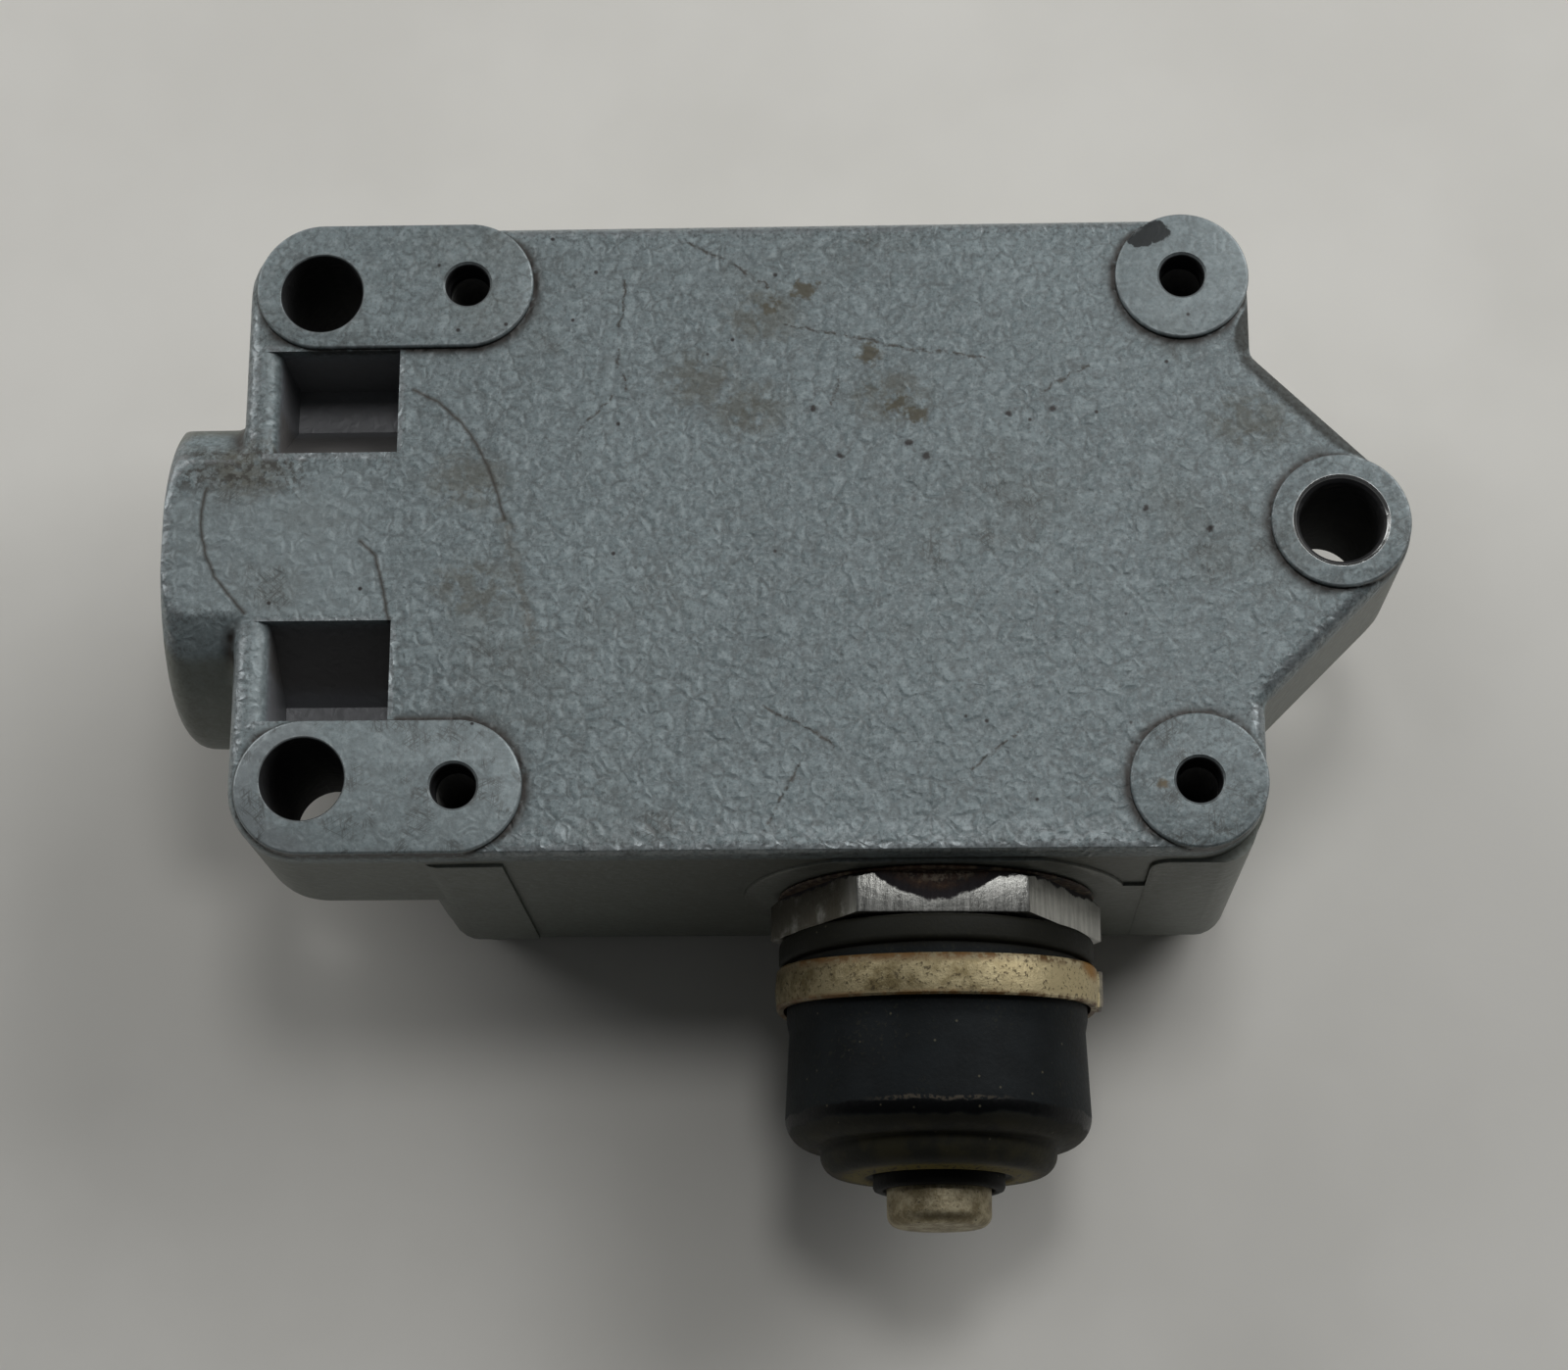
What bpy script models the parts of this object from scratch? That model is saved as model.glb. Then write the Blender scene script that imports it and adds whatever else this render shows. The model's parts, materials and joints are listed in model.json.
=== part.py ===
# Sealed plunger limit switch in a die-cast housing, lying on its front cover with the mounting face up.
# Metres, +Z up. X runs from the conduit hub to the nose, and the plunger comes out towards -Y.
# The origin is on the housing's centre lines, at the flat outer face of the cover.

from math import asin, cos, dist, pi, radians, sin, sqrt

import bmesh
import bpy
from mathutils import Matrix

# Clearances: between resting pieces, and round a piece that slides or passes through a hole
SEAT_GAP = 0.0003
RUNNING_GAP = 0.0003

# Housing casting
BOX_LENGTH = 0.07475
BOX_WIDTH = 0.0566
HOUSING_DEPTH = 0.0349
WALL = 0.0033
BACK_WALL = 0.0030
PAD_RAISE = 0.00055
EDGE_ROUND = 0.0013
LOWER_EDGE_ROUND = 0.0006
RIM_EDGE_ROUND = 0.0004
COLUMN_RADIUS = 0.00585
COLUMN_PROUD = 0.00045
COLUMN_SWELL = 0.0003
LEDGE_DEPTH = 0.0050
BOSS_RADIUS = 0.0180
BOSS_PROUD = 0.0007
BOSS_MARGIN = 0.0008
ROOT = 0.0015

# Mounting ears, nose and their holes
EAR_REACH = 0.007075
EAR_HOLE_INSET = 0.0061
EAR_RADIUS = 0.00615
EAR_DEPTH = 0.0187
NOSE_REACH = 0.007075
NOSE_RADIUS = 0.00625
NOSE_PAD_RADIUS = 0.0060
MOUNT_HOLE_RADIUS = 0.0036
TAPPED_RADIUS = 0.00195

# Conduit hub and the coring pockets beside it
HUB_RADIUS = 0.0155
HUB_DEPTH = 0.0133
HUB_REACH = 0.0072
HUB_RIM_ROUND = 0.0022
HUB_BORE_RADIUS = 0.0096
HUB_FLAT_DROP = 0.00005
RIB = 0.0026
POCKET_DEPTH = 0.0105
POCKET_HUB_TOP = 0.0080
POCKET_HUB_FLOOR = 0.0130
POCKET_SETBACK = 0.0001

# Front cover, gasket, liner and cover screws
COVER_THICKNESS = 0.0028
COVER_INSET = 0.0011
COVER_EDGE_ROUND = 0.0004
GASKET_THICKNESS = 0.0006
GASKET_INSET = 0.0013
LINER_THICKNESS = 0.0005
LINER_MARGIN = 0.0020
COVER_SCREW_RADIUS = 0.00205
COVER_SCREW_HEAD_RADIUS = 0.0032
COVER_SCREW_LENGTH = 0.0158
COVER_SCREW_SINK = 0.00015
COVER_SCREW_HOLE_EXTRA = 0.0010
SCREW_SLOT_WIDTH = 0.0009
SCREW_SLOT_DEPTH = 0.0010
SCREW_HEAD_CHAMFER = 0.0005

# Plunger position and stroke
PLUNGER_X = 0.0094
PLUNGER_DEPTH = 0.0175
PLUNGER_STROKE = 0.0056

# Bushing that carries the plunger, its seal washer and the spring seat inside it
SEAL_RADIUS = 0.0140
SEAL_THICKNESS = 0.0007
HEX_ACROSS_FLATS = 0.0254
HEX_THICKNESS = 0.0032
HEX_CHAMFER = 0.0006
HEX_TURN = radians(-2.2)
SHANK_RADIUS = 0.0110
SHANK_LENGTH = 0.0113
NECK_RADIUS = 0.0116
NECK_LENGTH = 0.0075
GUIDE_LENGTH = 0.0050
CHAMBER_RADIUS = 0.0082
GROOVE_INSET = 0.0008
GROOVE_DEPTH = 0.0007
SEAT_RING_THICKNESS = 0.0008
SEAT_RING_WIDTH = 0.0018
SEAT_RING_OPENING = radians(40)
SPRING_SEAT_THICKNESS = 0.0010

# Rubber boot and its clamp band
BOOT_BEAD_WALL = 0.0023
BOOT_BEAD_LENGTH = 0.0018
BOOT_WALL = 0.0016
BOOT_INNER_STEP = 0.00045
BOOT_FLARE = 0.00015
BOOT_LENGTH = 0.0182
BOOT_SHOULDER_ROUND = 0.0026
TIER_RADIUS = 0.0103
TIER_LENGTH = 0.0024
TIER_ROUND = 0.0018
TIER_END_RADIUS = 0.0065
LIP_RADIUS = 0.00575
LIP_LENGTH = 0.0011
BAND_WIDTH = 0.0043
BAND_THICKNESS = 0.00065
BAND_LAP_PROUD = 0.0007
BAND_LAP_HALF_WIDTH = 0.0016

# Plunger shaft, button and the overtravel pin that telescopes in the shaft
SHAFT_RADIUS = 0.0033
COLLAR_RADIUS = 0.0075
COLLAR_THICKNESS = 0.0017
SLEEVE_RADIUS = 0.0044
SLEEVE_BORE_RADIUS = 0.0032
SLEEVE_PROUD = 0.0015
SLEEVE_LIP = 0.0015
BORE_BOTTOM_INSET = 0.0010
BUTTON_RADIUS = 0.00455
BUTTON_LENGTH = 0.0056
BUTTON_PROUD = 0.0027
BUTTON_ROUND = 0.0011
BUTTON_SOCKET = 0.0030
TIP_RADIUS = 0.0020
TIP_FLANGE_RADIUS = 0.0029
TIP_FLANGE_THICKNESS = 0.0015
TIP_GUIDE_RADIUS = 0.0015
TIP_GUIDE_LENGTH = 0.0042
TIP_REST = 0.0015

# Coil springs
RETURN_SPRING_RADIUS = 0.0062
RETURN_SPRING_WIRE = 0.0010
RETURN_SPRING_TURNS = 4
OVERTRAVEL_SPRING_RADIUS = 0.00235
OVERTRAVEL_SPRING_WIRE = 0.0006
OVERTRAVEL_SPRING_TURNS = 7
POINTS_PER_TURN = 10

# Snap switch inside the housing
CASE_LENGTH = 0.0492
CASE_THICKNESS = 0.0175
CASE_HEIGHT = 0.0170
CASE_FACE_WALL = 0.0015
CASE_END_WALL = 0.0016
CASE_SIDE_WALL = 0.0020
PIN_OFFSET = 0.0079
PIN_RADIUS = 0.0015
PIN_PROUD = 0.0024
PIN_FLANGE_RADIUS = 0.0025
PIN_FLANGE_THICKNESS = 0.0010
PIN_FLANGE_DROP = 0.0003
CASE_SCREW_PITCH = 0.0254
CASE_SCREW_DROP = 0.0125
CASE_SCREW_RADIUS = 0.0016
CASE_SCREW_HEAD_RADIUS = 0.0030
CASE_SCREW_HEAD_HEIGHT = 0.0020
CASE_SCREW_GRIP = 0.0030
PILLAR_RADIUS = 0.0029
STANDOFF_RADIUS = 0.0040
BASE_THICKNESS = 0.0030

# Contact blade, contacts and terminals; across means along Z from the plunger axis
BLADE_DROP = 0.00575
BLADE_THICKNESS = 0.0005
BLADE_HALF_WIDTH = 0.0025
BLADE_END = 0.0016
CONTACT_INSET = 0.0051
CONTACT_RADIUS = 0.0018
CONTACT_THICKNESS = 0.0010
RIVET_RADIUS = 0.0009
CONTACT_TRAVEL = 0.00116
COMMON_INSET = 0.0051
COMMON_POST_LENGTH = 0.0030
COMMON_POST_HALF_WIDTH = 0.0020
COMMON_TAB_LENGTH = 0.0110
TAB_THICKNESS = 0.0008
TAB_STEP = 0.0002
TAB_SETBACK = 0.0008
TAB_WIDTH = 0.0052
TAB_LENGTH = 0.0110
OPEN_POST_LENGTH = 0.0020
CLOSED_LEG_LENGTH = 0.0010
CLOSED_ARM_THICKNESS = 0.00095
CLOSED_ARM_OVERLAP = 0.0020
CLOSED_ARM_STEP = 0.0001
POST_SPLIT = 0.0005
TERMINAL_SCREW_RADIUS = 0.0015
TERMINAL_SCREW_HEAD_RADIUS = 0.0025
TERMINAL_SCREW_HEAD_HEIGHT = 0.0018
TERMINAL_SCREW_LENGTH = 0.0034
TERMINAL_SCREW_INSET = 0.0030

# Facets round a full turn and round a small fillet, and the angle that stays a sharp edge
LARGE_STEPS = 40
MEDIUM_STEPS = 28
SMALL_STEPS = 16
FILLET_STEPS = 4
SHARP_ANGLE = radians(35)

# Reach of a cutter past the face it cuts, and the distance within which two points are one
OVERCUT = 0.0020
SAME_POINT = 1e-7

# Heights above the cover's outer face
GASKET_Z = COVER_THICKNESS + SEAT_GAP
RIM_Z = GASKET_Z + GASKET_THICKNESS + SEAT_GAP
BACK_Z = RIM_Z + HOUSING_DEPTH
FACE_Z = BACK_Z - PAD_RAISE
ROOF_Z = FACE_Z - BACK_WALL
LEDGE_Z = BACK_Z - LEDGE_DEPTH
EAR_Z = BACK_Z - EAR_DEPTH
HUB_Z = BACK_Z - HUB_DEPTH
AXIS_Z = BACK_Z - PLUNGER_DEPTH

# Places along X and Y
HALF_LENGTH = BOX_LENGTH / 2
HALF_WIDTH = BOX_WIDTH / 2
COLUMN_X = HALF_LENGTH - COLUMN_RADIUS
COLUMN_Y = HALF_WIDTH - COLUMN_RADIUS + COLUMN_PROUD
EAR_HOLE_X = -HALF_LENGTH - EAR_REACH
EAR_HOLE_Y = HALF_WIDTH - EAR_HOLE_INSET
EAR_END_X = EAR_HOLE_X - EAR_RADIUS
NOSE_X = HALF_LENGTH + NOSE_REACH
HUB_END_X = EAR_END_X - HUB_REACH
CAVITY_X = HALF_LENGTH - WALL
CAVITY_Y = HALF_WIDTH - WALL
COLUMNS = [(side * COLUMN_X, end * COLUMN_Y) for end in (-1, 1) for side in (-1, 1)]
COVER_SCREW_HOLE_RADIUS = COVER_SCREW_RADIUS + SEAT_GAP

# Distances out along the plunger axis from the housing's centre line
BOSS_OUT = HALF_WIDTH + BOSS_PROUD
SEAL_IN = BOSS_OUT + SEAT_GAP
HEX_IN = SEAL_IN + SEAL_THICKNESS + SEAT_GAP
HEX_OUT = HEX_IN + HEX_THICKNESS
NECK_OUT = HEX_OUT + NECK_LENGTH
SHANK_IN = HEX_IN - SHANK_LENGTH
CHAMBER_OUT = NECK_OUT - GUIDE_LENGTH
GROOVE_IN = SHANK_IN + GROOVE_INSET
SEAT_RING_IN = GROOVE_IN + SEAT_GAP
SEAT_RING_OUT = SEAT_RING_IN + SEAT_RING_THICKNESS
SPRING_SEAT_IN = SEAT_RING_OUT + SEAT_GAP
SPRING_SEAT_OUT = SPRING_SEAT_IN + SPRING_SEAT_THICKNESS
BOOT_IN = HEX_OUT + SEAT_GAP
BAND_IN = BOOT_IN + BOOT_BEAD_LENGTH + SEAT_GAP
BAND_OUT = BAND_IN + BAND_WIDTH
BOOT_OUT = BOOT_IN + BOOT_LENGTH
TIER_OUT = BOOT_OUT + TIER_LENGTH
LIP_OUT = TIER_OUT + LIP_LENGTH
BUTTON_OUT = LIP_OUT + BUTTON_PROUD
BUTTON_IN = BUTTON_OUT - BUTTON_LENGTH
SHAFT_OUT = BUTTON_IN + BUTTON_SOCKET
COLLAR_OUT = CHAMBER_OUT - SEAT_GAP
COLLAR_IN = COLLAR_OUT - COLLAR_THICKNESS
SLEEVE_IN = SHANK_IN - SLEEVE_PROUD
BORE_OUT = COLLAR_IN - BORE_BOTTOM_INSET
PIN_OUT = SLEEVE_IN - PLUNGER_STROKE - TIP_REST
TIP_FLANGE_IN = SLEEVE_IN + SLEEVE_LIP + SEAT_GAP
TIP_FLANGE_OUT = TIP_FLANGE_IN + TIP_FLANGE_THICKNESS
CASE_OUT = PIN_OUT - PIN_PROUD

# Boot radii, which follow the neck they are clamped on
BOOT_BORE_RADIUS = NECK_RADIUS + SEAT_GAP
BOOT_RADIUS = NECK_RADIUS + BOOT_WALL
BOOT_BEAD_RADIUS = NECK_RADIUS + BOOT_BEAD_WALL
BAND_INNER_RADIUS = BOOT_RADIUS + SEAT_GAP

# Snap switch places along X and Y
CASE_X = PLUNGER_X - PIN_OFFSET
CASE_LEFT = CASE_X - CASE_LENGTH / 2
CASE_RIGHT = CASE_X + CASE_LENGTH / 2
CASE_Y = -CASE_OUT
CASE_BACK_Y = CASE_Y + CASE_HEIGHT
CASE_LOW_Z = AXIS_Z - CASE_THICKNESS / 2
CASE_HIGH_Z = AXIS_Z + CASE_THICKNESS / 2
CASE_CEILING_Y = CASE_Y + CASE_FACE_WALL
CASE_SCREW_Y = CASE_Y + CASE_SCREW_DROP
CASE_SCREWS_X = [CASE_X - CASE_SCREW_PITCH / 2, CASE_X + CASE_SCREW_PITCH / 2]
BASE_Y = CASE_BACK_Y + SEAT_GAP
TAB_Y = BASE_Y + BASE_THICKNESS + SEAT_GAP
POST_TOP_Y = TAB_Y + TAB_THICKNESS
TAB_TOP_Y = POST_TOP_Y + TAB_STEP
BLADE_Y = CASE_Y + BLADE_DROP
BLADE_BACK_Y = BLADE_Y + BLADE_THICKNESS
COMMON_X = CASE_LEFT + COMMON_INSET
CONTACT_X = CASE_RIGHT - CONTACT_INSET
CLOSED_LEG_RIGHT = CASE_RIGHT - CASE_END_WALL - SEAT_GAP
CLOSED_LEG_LEFT = CLOSED_LEG_RIGHT - CLOSED_LEG_LENGTH
CLOSED_CONTACT_Y = BLADE_Y - 2 * SEAT_GAP - 2 * CONTACT_THICKNESS
CLOSED_ARM_Y = CLOSED_CONTACT_Y - SEAT_GAP - CLOSED_ARM_THICKNESS
OPEN_CONTACT_Y = BLADE_BACK_Y + 2 * SEAT_GAP + CONTACT_THICKNESS + CONTACT_TRAVEL
OPEN_POST_Y = OPEN_CONTACT_Y + CONTACT_THICKNESS + SEAT_GAP

# Turns that lay a piece's own Z along the plunger, away from it, or down
ALONG_PLUNGER = (pi / 2, 0, 0)
AGAINST_PLUNGER = (-pi / 2, 0, 0)
DOWN = (pi, 0, 0)

# Finishes: colour, roughness and metallic value
PAINT = ((0.40, 0.42, 0.42), 0.45, 0.6)
RUBBER = ((0.018, 0.019, 0.020), 0.75, 0.0)
PLATED_STEEL = ((0.52, 0.51, 0.48), 0.38, 1.0)
SPRING_STEEL = ((0.36, 0.36, 0.37), 0.35, 1.0)
DULL_BRASS = ((0.46, 0.38, 0.20), 0.45, 1.0)
BRASS = ((0.62, 0.48, 0.20), 0.35, 1.0)
NICKEL = ((0.45, 0.41, 0.32), 0.42, 1.0)
FIBRE = ((0.16, 0.09, 0.05), 0.8, 0.0)
CORK = ((0.10, 0.10, 0.09), 0.85, 0.0)
PHENOLIC = ((0.030, 0.022, 0.018), 0.5, 0.0)
PIN_PLASTIC = ((0.28, 0.05, 0.03), 0.45, 0.0)
SILVER = ((0.75, 0.74, 0.70), 0.30, 1.0)


def remove_all():
    for thing in list(bpy.data.objects):
        bpy.data.objects.remove(thing)


def arc(centre, radius, start, end, steps):
    angles = [start + (end - start) * step / steps for step in range(steps + 1)]
    return [(centre[0] + radius * cos(angle), centre[1] + radius * sin(angle)) for angle in angles]


def circle(centre, radius, steps):
    return arc(centre, radius, 0, 2 * pi, steps)[:-1]


def rounded_rectangle(half_x, half_y, radius):
    quarter = pi / 2
    corners = ((1, 1, 0), (-1, 1, 1), (-1, -1, 2), (1, -1, 3))
    outline = []
    for side, end, turn in corners:
        centre = (side * (half_x - radius), end * (half_y - radius))
        outline += arc(centre, radius, turn * quarter, (turn + 1) * quarter, MEDIUM_STEPS // 4)
    return outline


def stadium(left, right, y, radius):
    half_turn = MEDIUM_STEPS // 2
    right_end = arc((right, y), radius, -pi / 2, pi / 2, half_turn)
    return right_end + arc((left, y), radius, pi / 2, 3 * pi / 2, half_turn)


def object_from(name, shape):
    mesh = bpy.data.meshes.new(name)
    bmesh.ops.recalc_face_normals(shape, faces=shape.faces)
    shape.to_mesh(mesh)
    shape.free()
    made = bpy.data.objects.new(name, mesh)
    bpy.context.scene.collection.objects.link(made)
    return made


def prism(name, outline, low, high, round_low=0, round_high=0):
    # A point that repeats the one before it, as where two arcs meet, is left out.
    outline = [point for i, point in enumerate(outline) if dist(point, outline[i - 1]) > SAME_POINT]
    shape = bmesh.new()
    bottom = shape.faces.new([shape.verts.new((x, y, low)) for x, y in outline])
    top = bmesh.ops.extrude_face_region(shape, geom=[bottom])["geom"]
    raised = [item for item in top if isinstance(item, bmesh.types.BMVert)]
    bmesh.ops.translate(shape, verts=raised, vec=(0, 0, high - low))
    for level, width in ((low, round_low), (high, round_high)):
        if width:
            on_level = {v for v in shape.verts if abs(v.co.z - level) < SAME_POINT}
            rim = [edge for edge in shape.edges if on_level.issuperset(edge.verts)]
            bmesh.ops.bevel(
                shape, geom=rim, offset=width, segments=FILLET_STEPS, profile=0.5, affect="EDGES",
            )
    return object_from(name, shape)


def box(name, low, high):
    outline = [(low[0], low[1]), (high[0], low[1]), (high[0], high[1]), (low[0], high[1])]
    return prism(name, outline, low[2], high[2])


def turned(name, profile, steps=MEDIUM_STEPS):
    # The profile is a closed outline of (radius, height) points, turned round Z.
    shape = bmesh.new()
    ring = [shape.verts.new((radius, 0, height)) for radius, height in profile]
    edges = [shape.edges.new((ring[i - 1], ring[i])) for i in range(len(ring))]
    on_axis = [edge for edge in edges if all(v.co.x == 0 for v in edge.verts)]
    bmesh.ops.delete(shape, geom=on_axis, context="EDGES")
    bmesh.ops.spin(
        shape, geom=list(shape.verts) + list(shape.edges), cent=(0, 0, 0), axis=(0, 0, 1),
        angle=2 * pi, steps=steps, use_merge=True,
    )
    bmesh.ops.remove_doubles(shape, verts=list(shape.verts), dist=SAME_POINT)
    return object_from(name, shape)


def turn_mesh(thing, angle, axis, shift=(0, 0, 0)):
    thing.data.transform(Matrix.Translation(shift) @ Matrix.Rotation(angle, 4, axis))
    return thing


def combine(target, tool, operation):
    modifier = target.modifiers.new("combine", "BOOLEAN")
    modifier.operation = operation
    modifier.solver = "EXACT"
    modifier.object = tool
    with bpy.context.temp_override(object=target, active_object=target):
        bpy.ops.object.modifier_apply(modifier=modifier.name)
    bpy.data.objects.remove(tool)


def join(target, *tools):
    for tool in tools:
        combine(target, tool, "UNION")
    return target


def cut(target, *tools):
    for tool in tools:
        combine(target, tool, "DIFFERENCE")
    return target


def hole(x, y, radius, low, high, steps=SMALL_STEPS):
    return prism("hole", circle((x, y), radius, steps), low, high)


def finish(thing, look):
    colour, roughness, metallic = look
    material = bpy.data.materials.new(thing.name)
    material.use_nodes = True
    shader = material.node_tree.nodes["Principled BSDF"]
    shader.inputs["Base Color"].default_value = (*colour, 1)
    shader.inputs["Roughness"].default_value = roughness
    shader.inputs["Metallic"].default_value = metallic
    thing.data.materials.clear()
    thing.data.materials.append(material)
    if thing.type == "MESH":
        thing.data.shade_smooth()
        thing.data.set_sharp_from_angle(angle=SHARP_ANGLE)
    return thing


def place(thing, parent, location=(0, 0, 0), rotation=(0, 0, 0)):
    thing.parent = parent
    thing.location = location
    thing.rotation_euler = rotation
    return thing


def guide(name, location, rotation=(0, 0, 0), parent=None):
    empty = bpy.data.objects.new(name, None)
    bpy.context.scene.collection.objects.link(empty)
    return place(empty, parent, location, rotation)


def spring(name, radius, wire, turns, low, high):
    # One unbroken tube whose centre line climbs steadily between the two seats.
    start = low + wire / 2
    climb = high - low - wire
    count = round(turns * POINTS_PER_TURN)
    points = []
    for step in range(count + 1):
        share = step / count
        angle = 2 * pi * turns * share
        points.append((radius * cos(angle), radius * sin(angle), start + climb * share))
    least = min(
        dist(points[i], points[j])
        for i in range(len(points))
        for j in range(i + POINTS_PER_TURN // 2, len(points))
    )
    print(name, "least gap to itself in mm:", round((least - wire) * 1000, 2))
    curve = bpy.data.curves.new(name, "CURVE")
    curve.dimensions = "3D"
    curve.bevel_depth = wire / 2
    curve.bevel_resolution = 1
    curve.use_fill_caps = True
    line = curve.splines.new("POLY")
    line.points.add(len(points) - 1)
    for point, place_on_line in zip(line.points, points):
        point.co = (*place_on_line, 1)
    made = bpy.data.objects.new(name, curve)
    bpy.context.scene.collection.objects.link(made)
    return made


def screw_slot(head_radius, top):
    reach = head_radius + OVERCUT
    half = SCREW_SLOT_WIDTH / 2
    return box("slot", (-reach, -half, top - SCREW_SLOT_DEPTH), (reach, half, top + OVERCUT))


def slotted_screw(name, head_radius, head_height, radius, length):
    # The head's seat is at height 0, and the shank runs down from it.
    profile = [
        (0, -length), (radius, -length), (radius, 0), (head_radius, 0),
        (head_radius, head_height - SCREW_HEAD_CHAMFER), (head_radius - SCREW_HEAD_CHAMFER, head_height),
        (0, head_height),
    ]
    return cut(turned(name, profile, SMALL_STEPS), screw_slot(head_radius, head_height))


def cavity_outline(margin=0):
    # The inner space, stepped in at the corners round the screw columns.
    wide_x = CAVITY_X - margin
    wide_y = CAVITY_Y - margin
    step_x = COLUMN_X - COLUMN_RADIUS - margin
    step_y = COLUMN_Y - COLUMN_RADIUS - margin
    quarter = [(wide_x, step_y), (step_x, step_y), (step_x, wide_y)]
    outline = quarter + [(-x, y) for x, y in reversed(quarter)]
    return outline + [(-x, -y) for x, y in outline]


def boss(end):
    # A round boss on a side wall, cut straight along the top and bottom of the wall.
    below = asin(min((AXIS_Z - RIM_Z - BOSS_MARGIN) / BOSS_RADIUS, 1))
    above = asin(min((FACE_Z - EDGE_ROUND - BOSS_MARGIN - AXIS_Z) / BOSS_RADIUS, 1))
    down, up = (below, above) if end < 0 else (above, below)
    outline = arc((PLUNGER_X, 0), BOSS_RADIUS, -down, up, MEDIUM_STEPS // 2)
    outline += arc((PLUNGER_X, 0), BOSS_RADIUS, pi - up, pi + down, MEDIUM_STEPS // 2)
    made = prism("boss", outline, HALF_WIDTH - ROOT, BOSS_OUT)
    return turn_mesh(made, -end * pi / 2, "X", (0, 0, AXIS_Z))


def ear_slab():
    inner = -HALF_LENGTH + ROOT
    edge_y = EAR_HOLE_Y + EAR_RADIUS
    outline = [(inner, -edge_y), (inner, edge_y)]
    outline += arc((EAR_HOLE_X, EAR_HOLE_Y), EAR_RADIUS, pi / 2, pi, MEDIUM_STEPS // 4)
    outline += arc((EAR_HOLE_X, -EAR_HOLE_Y), EAR_RADIUS, pi, 3 * pi / 2, MEDIUM_STEPS // 4)
    return prism("ears", outline, EAR_Z, FACE_Z, round_low=LOWER_EDGE_ROUND, round_high=EDGE_ROUND)


def nose_block():
    inner = HALF_LENGTH - ROOT
    spread = NOSE_X + NOSE_RADIUS * sqrt(2) - inner
    tip = arc((NOSE_X, 0), NOSE_RADIUS, -pi / 4, pi / 4, MEDIUM_STEPS // 4)
    outline = [(inner, -spread), *tip, (inner, spread)]
    return prism("nose", outline, EAR_Z, FACE_Z, round_low=LOWER_EDGE_ROUND, round_high=EDGE_ROUND)


def hub():
    root_x = -HALF_LENGTH + ROOT
    length = root_x - HUB_END_X
    rim = arc((HUB_RADIUS - HUB_RIM_ROUND, length - HUB_RIM_ROUND), HUB_RIM_ROUND, 0, pi / 2, FILLET_STEPS)
    made = turned("hub", [(0, 0), (HUB_RADIUS, 0)] + rim + [(0, length)], LARGE_STEPS)
    turn_mesh(made, -pi / 2, "Y", (root_x, 0, HUB_Z))
    top = FACE_Z - HUB_FLAT_DROP
    above = box(
        "above", (HUB_END_X - OVERCUT, -HUB_RADIUS, top), (0, HUB_RADIUS, HUB_Z + HUB_RADIUS + OVERCUT),
    )
    return cut(made, above)


def pocket(end):
    pad_side = COLUMN_Y - COLUMN_RADIUS - POCKET_SETBACK
    floor = BACK_Z - POCKET_DEPTH
    section = [
        (end * POCKET_HUB_FLOOR, floor), (end * pad_side, floor), (end * pad_side, BACK_Z + OVERCUT),
        (end * POCKET_HUB_TOP, BACK_Z + OVERCUT), (end * POCKET_HUB_TOP, FACE_Z),
    ]
    left = EAR_END_X + RIB
    made = prism("pocket", section, left, -HALF_LENGTH)
    turn = Matrix(((0, 0, 1, 0), (1, 0, 0, 0), (0, 1, 0, 0), (0, 0, 0, 1)))
    made.data.transform(turn)
    return made


def housing_solids():
    solids = [
        ear_slab(), nose_block(), hub(), boss(-1), boss(1),
        hole(NOSE_X, 0, NOSE_PAD_RADIUS, FACE_Z - ROOT, BACK_Z, MEDIUM_STEPS),
    ]
    for x, y in COLUMNS:
        swollen = COLUMN_RADIUS + COLUMN_SWELL
        solids.append(hole(x, y, swollen, RIM_Z + COLUMN_SWELL, LEDGE_Z, MEDIUM_STEPS))
        if x > 0:
            solids.append(hole(x, y, COLUMN_RADIUS, LEDGE_Z - ROOT, BACK_Z, MEDIUM_STEPS))
        else:
            outline = stadium(EAR_HOLE_X, x, y, COLUMN_RADIUS)
            solids.append(prism("pad", outline, FACE_Z - ROOT, BACK_Z))
    return solids


def housing_cuts():
    shank_hole = SHANK_RADIUS + SEAT_GAP
    bushing_hole = hole(0, 0, shank_hole, CAVITY_Y - OVERCUT, BOSS_OUT + OVERCUT, MEDIUM_STEPS)
    conduit = hole(0, 0, HUB_BORE_RADIUS, HUB_END_X - OVERCUT, SEAT_GAP - CAVITY_X, MEDIUM_STEPS)
    cuts = [
        prism("cavity", cavity_outline(), RIM_Z - OVERCUT, ROOF_Z),
        turn_mesh(bushing_hole, pi / 2, "X", (PLUNGER_X, 0, AXIS_Z)),
        turn_mesh(conduit, pi / 2, "Y", (0, 0, HUB_Z)),
        pocket(-1), pocket(1),
    ]
    for x, y in ((EAR_HOLE_X, -EAR_HOLE_Y), (EAR_HOLE_X, EAR_HOLE_Y), (NOSE_X, 0)):
        cuts.append(hole(x, y, MOUNT_HOLE_RADIUS, EAR_Z - OVERCUT, BACK_Z + OVERCUT, MEDIUM_STEPS))
    screw_end = COVER_SCREW_SINK + COVER_SCREW_LENGTH + COVER_SCREW_HOLE_EXTRA
    for x, y in COLUMNS:
        cuts.append(hole(x, y, COVER_SCREW_HOLE_RADIUS, RIM_Z - OVERCUT, screw_end))
        cuts.append(hole(x, y, TAPPED_RADIUS, RIM_Z, BACK_Z + OVERCUT))
    return cuts


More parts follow.
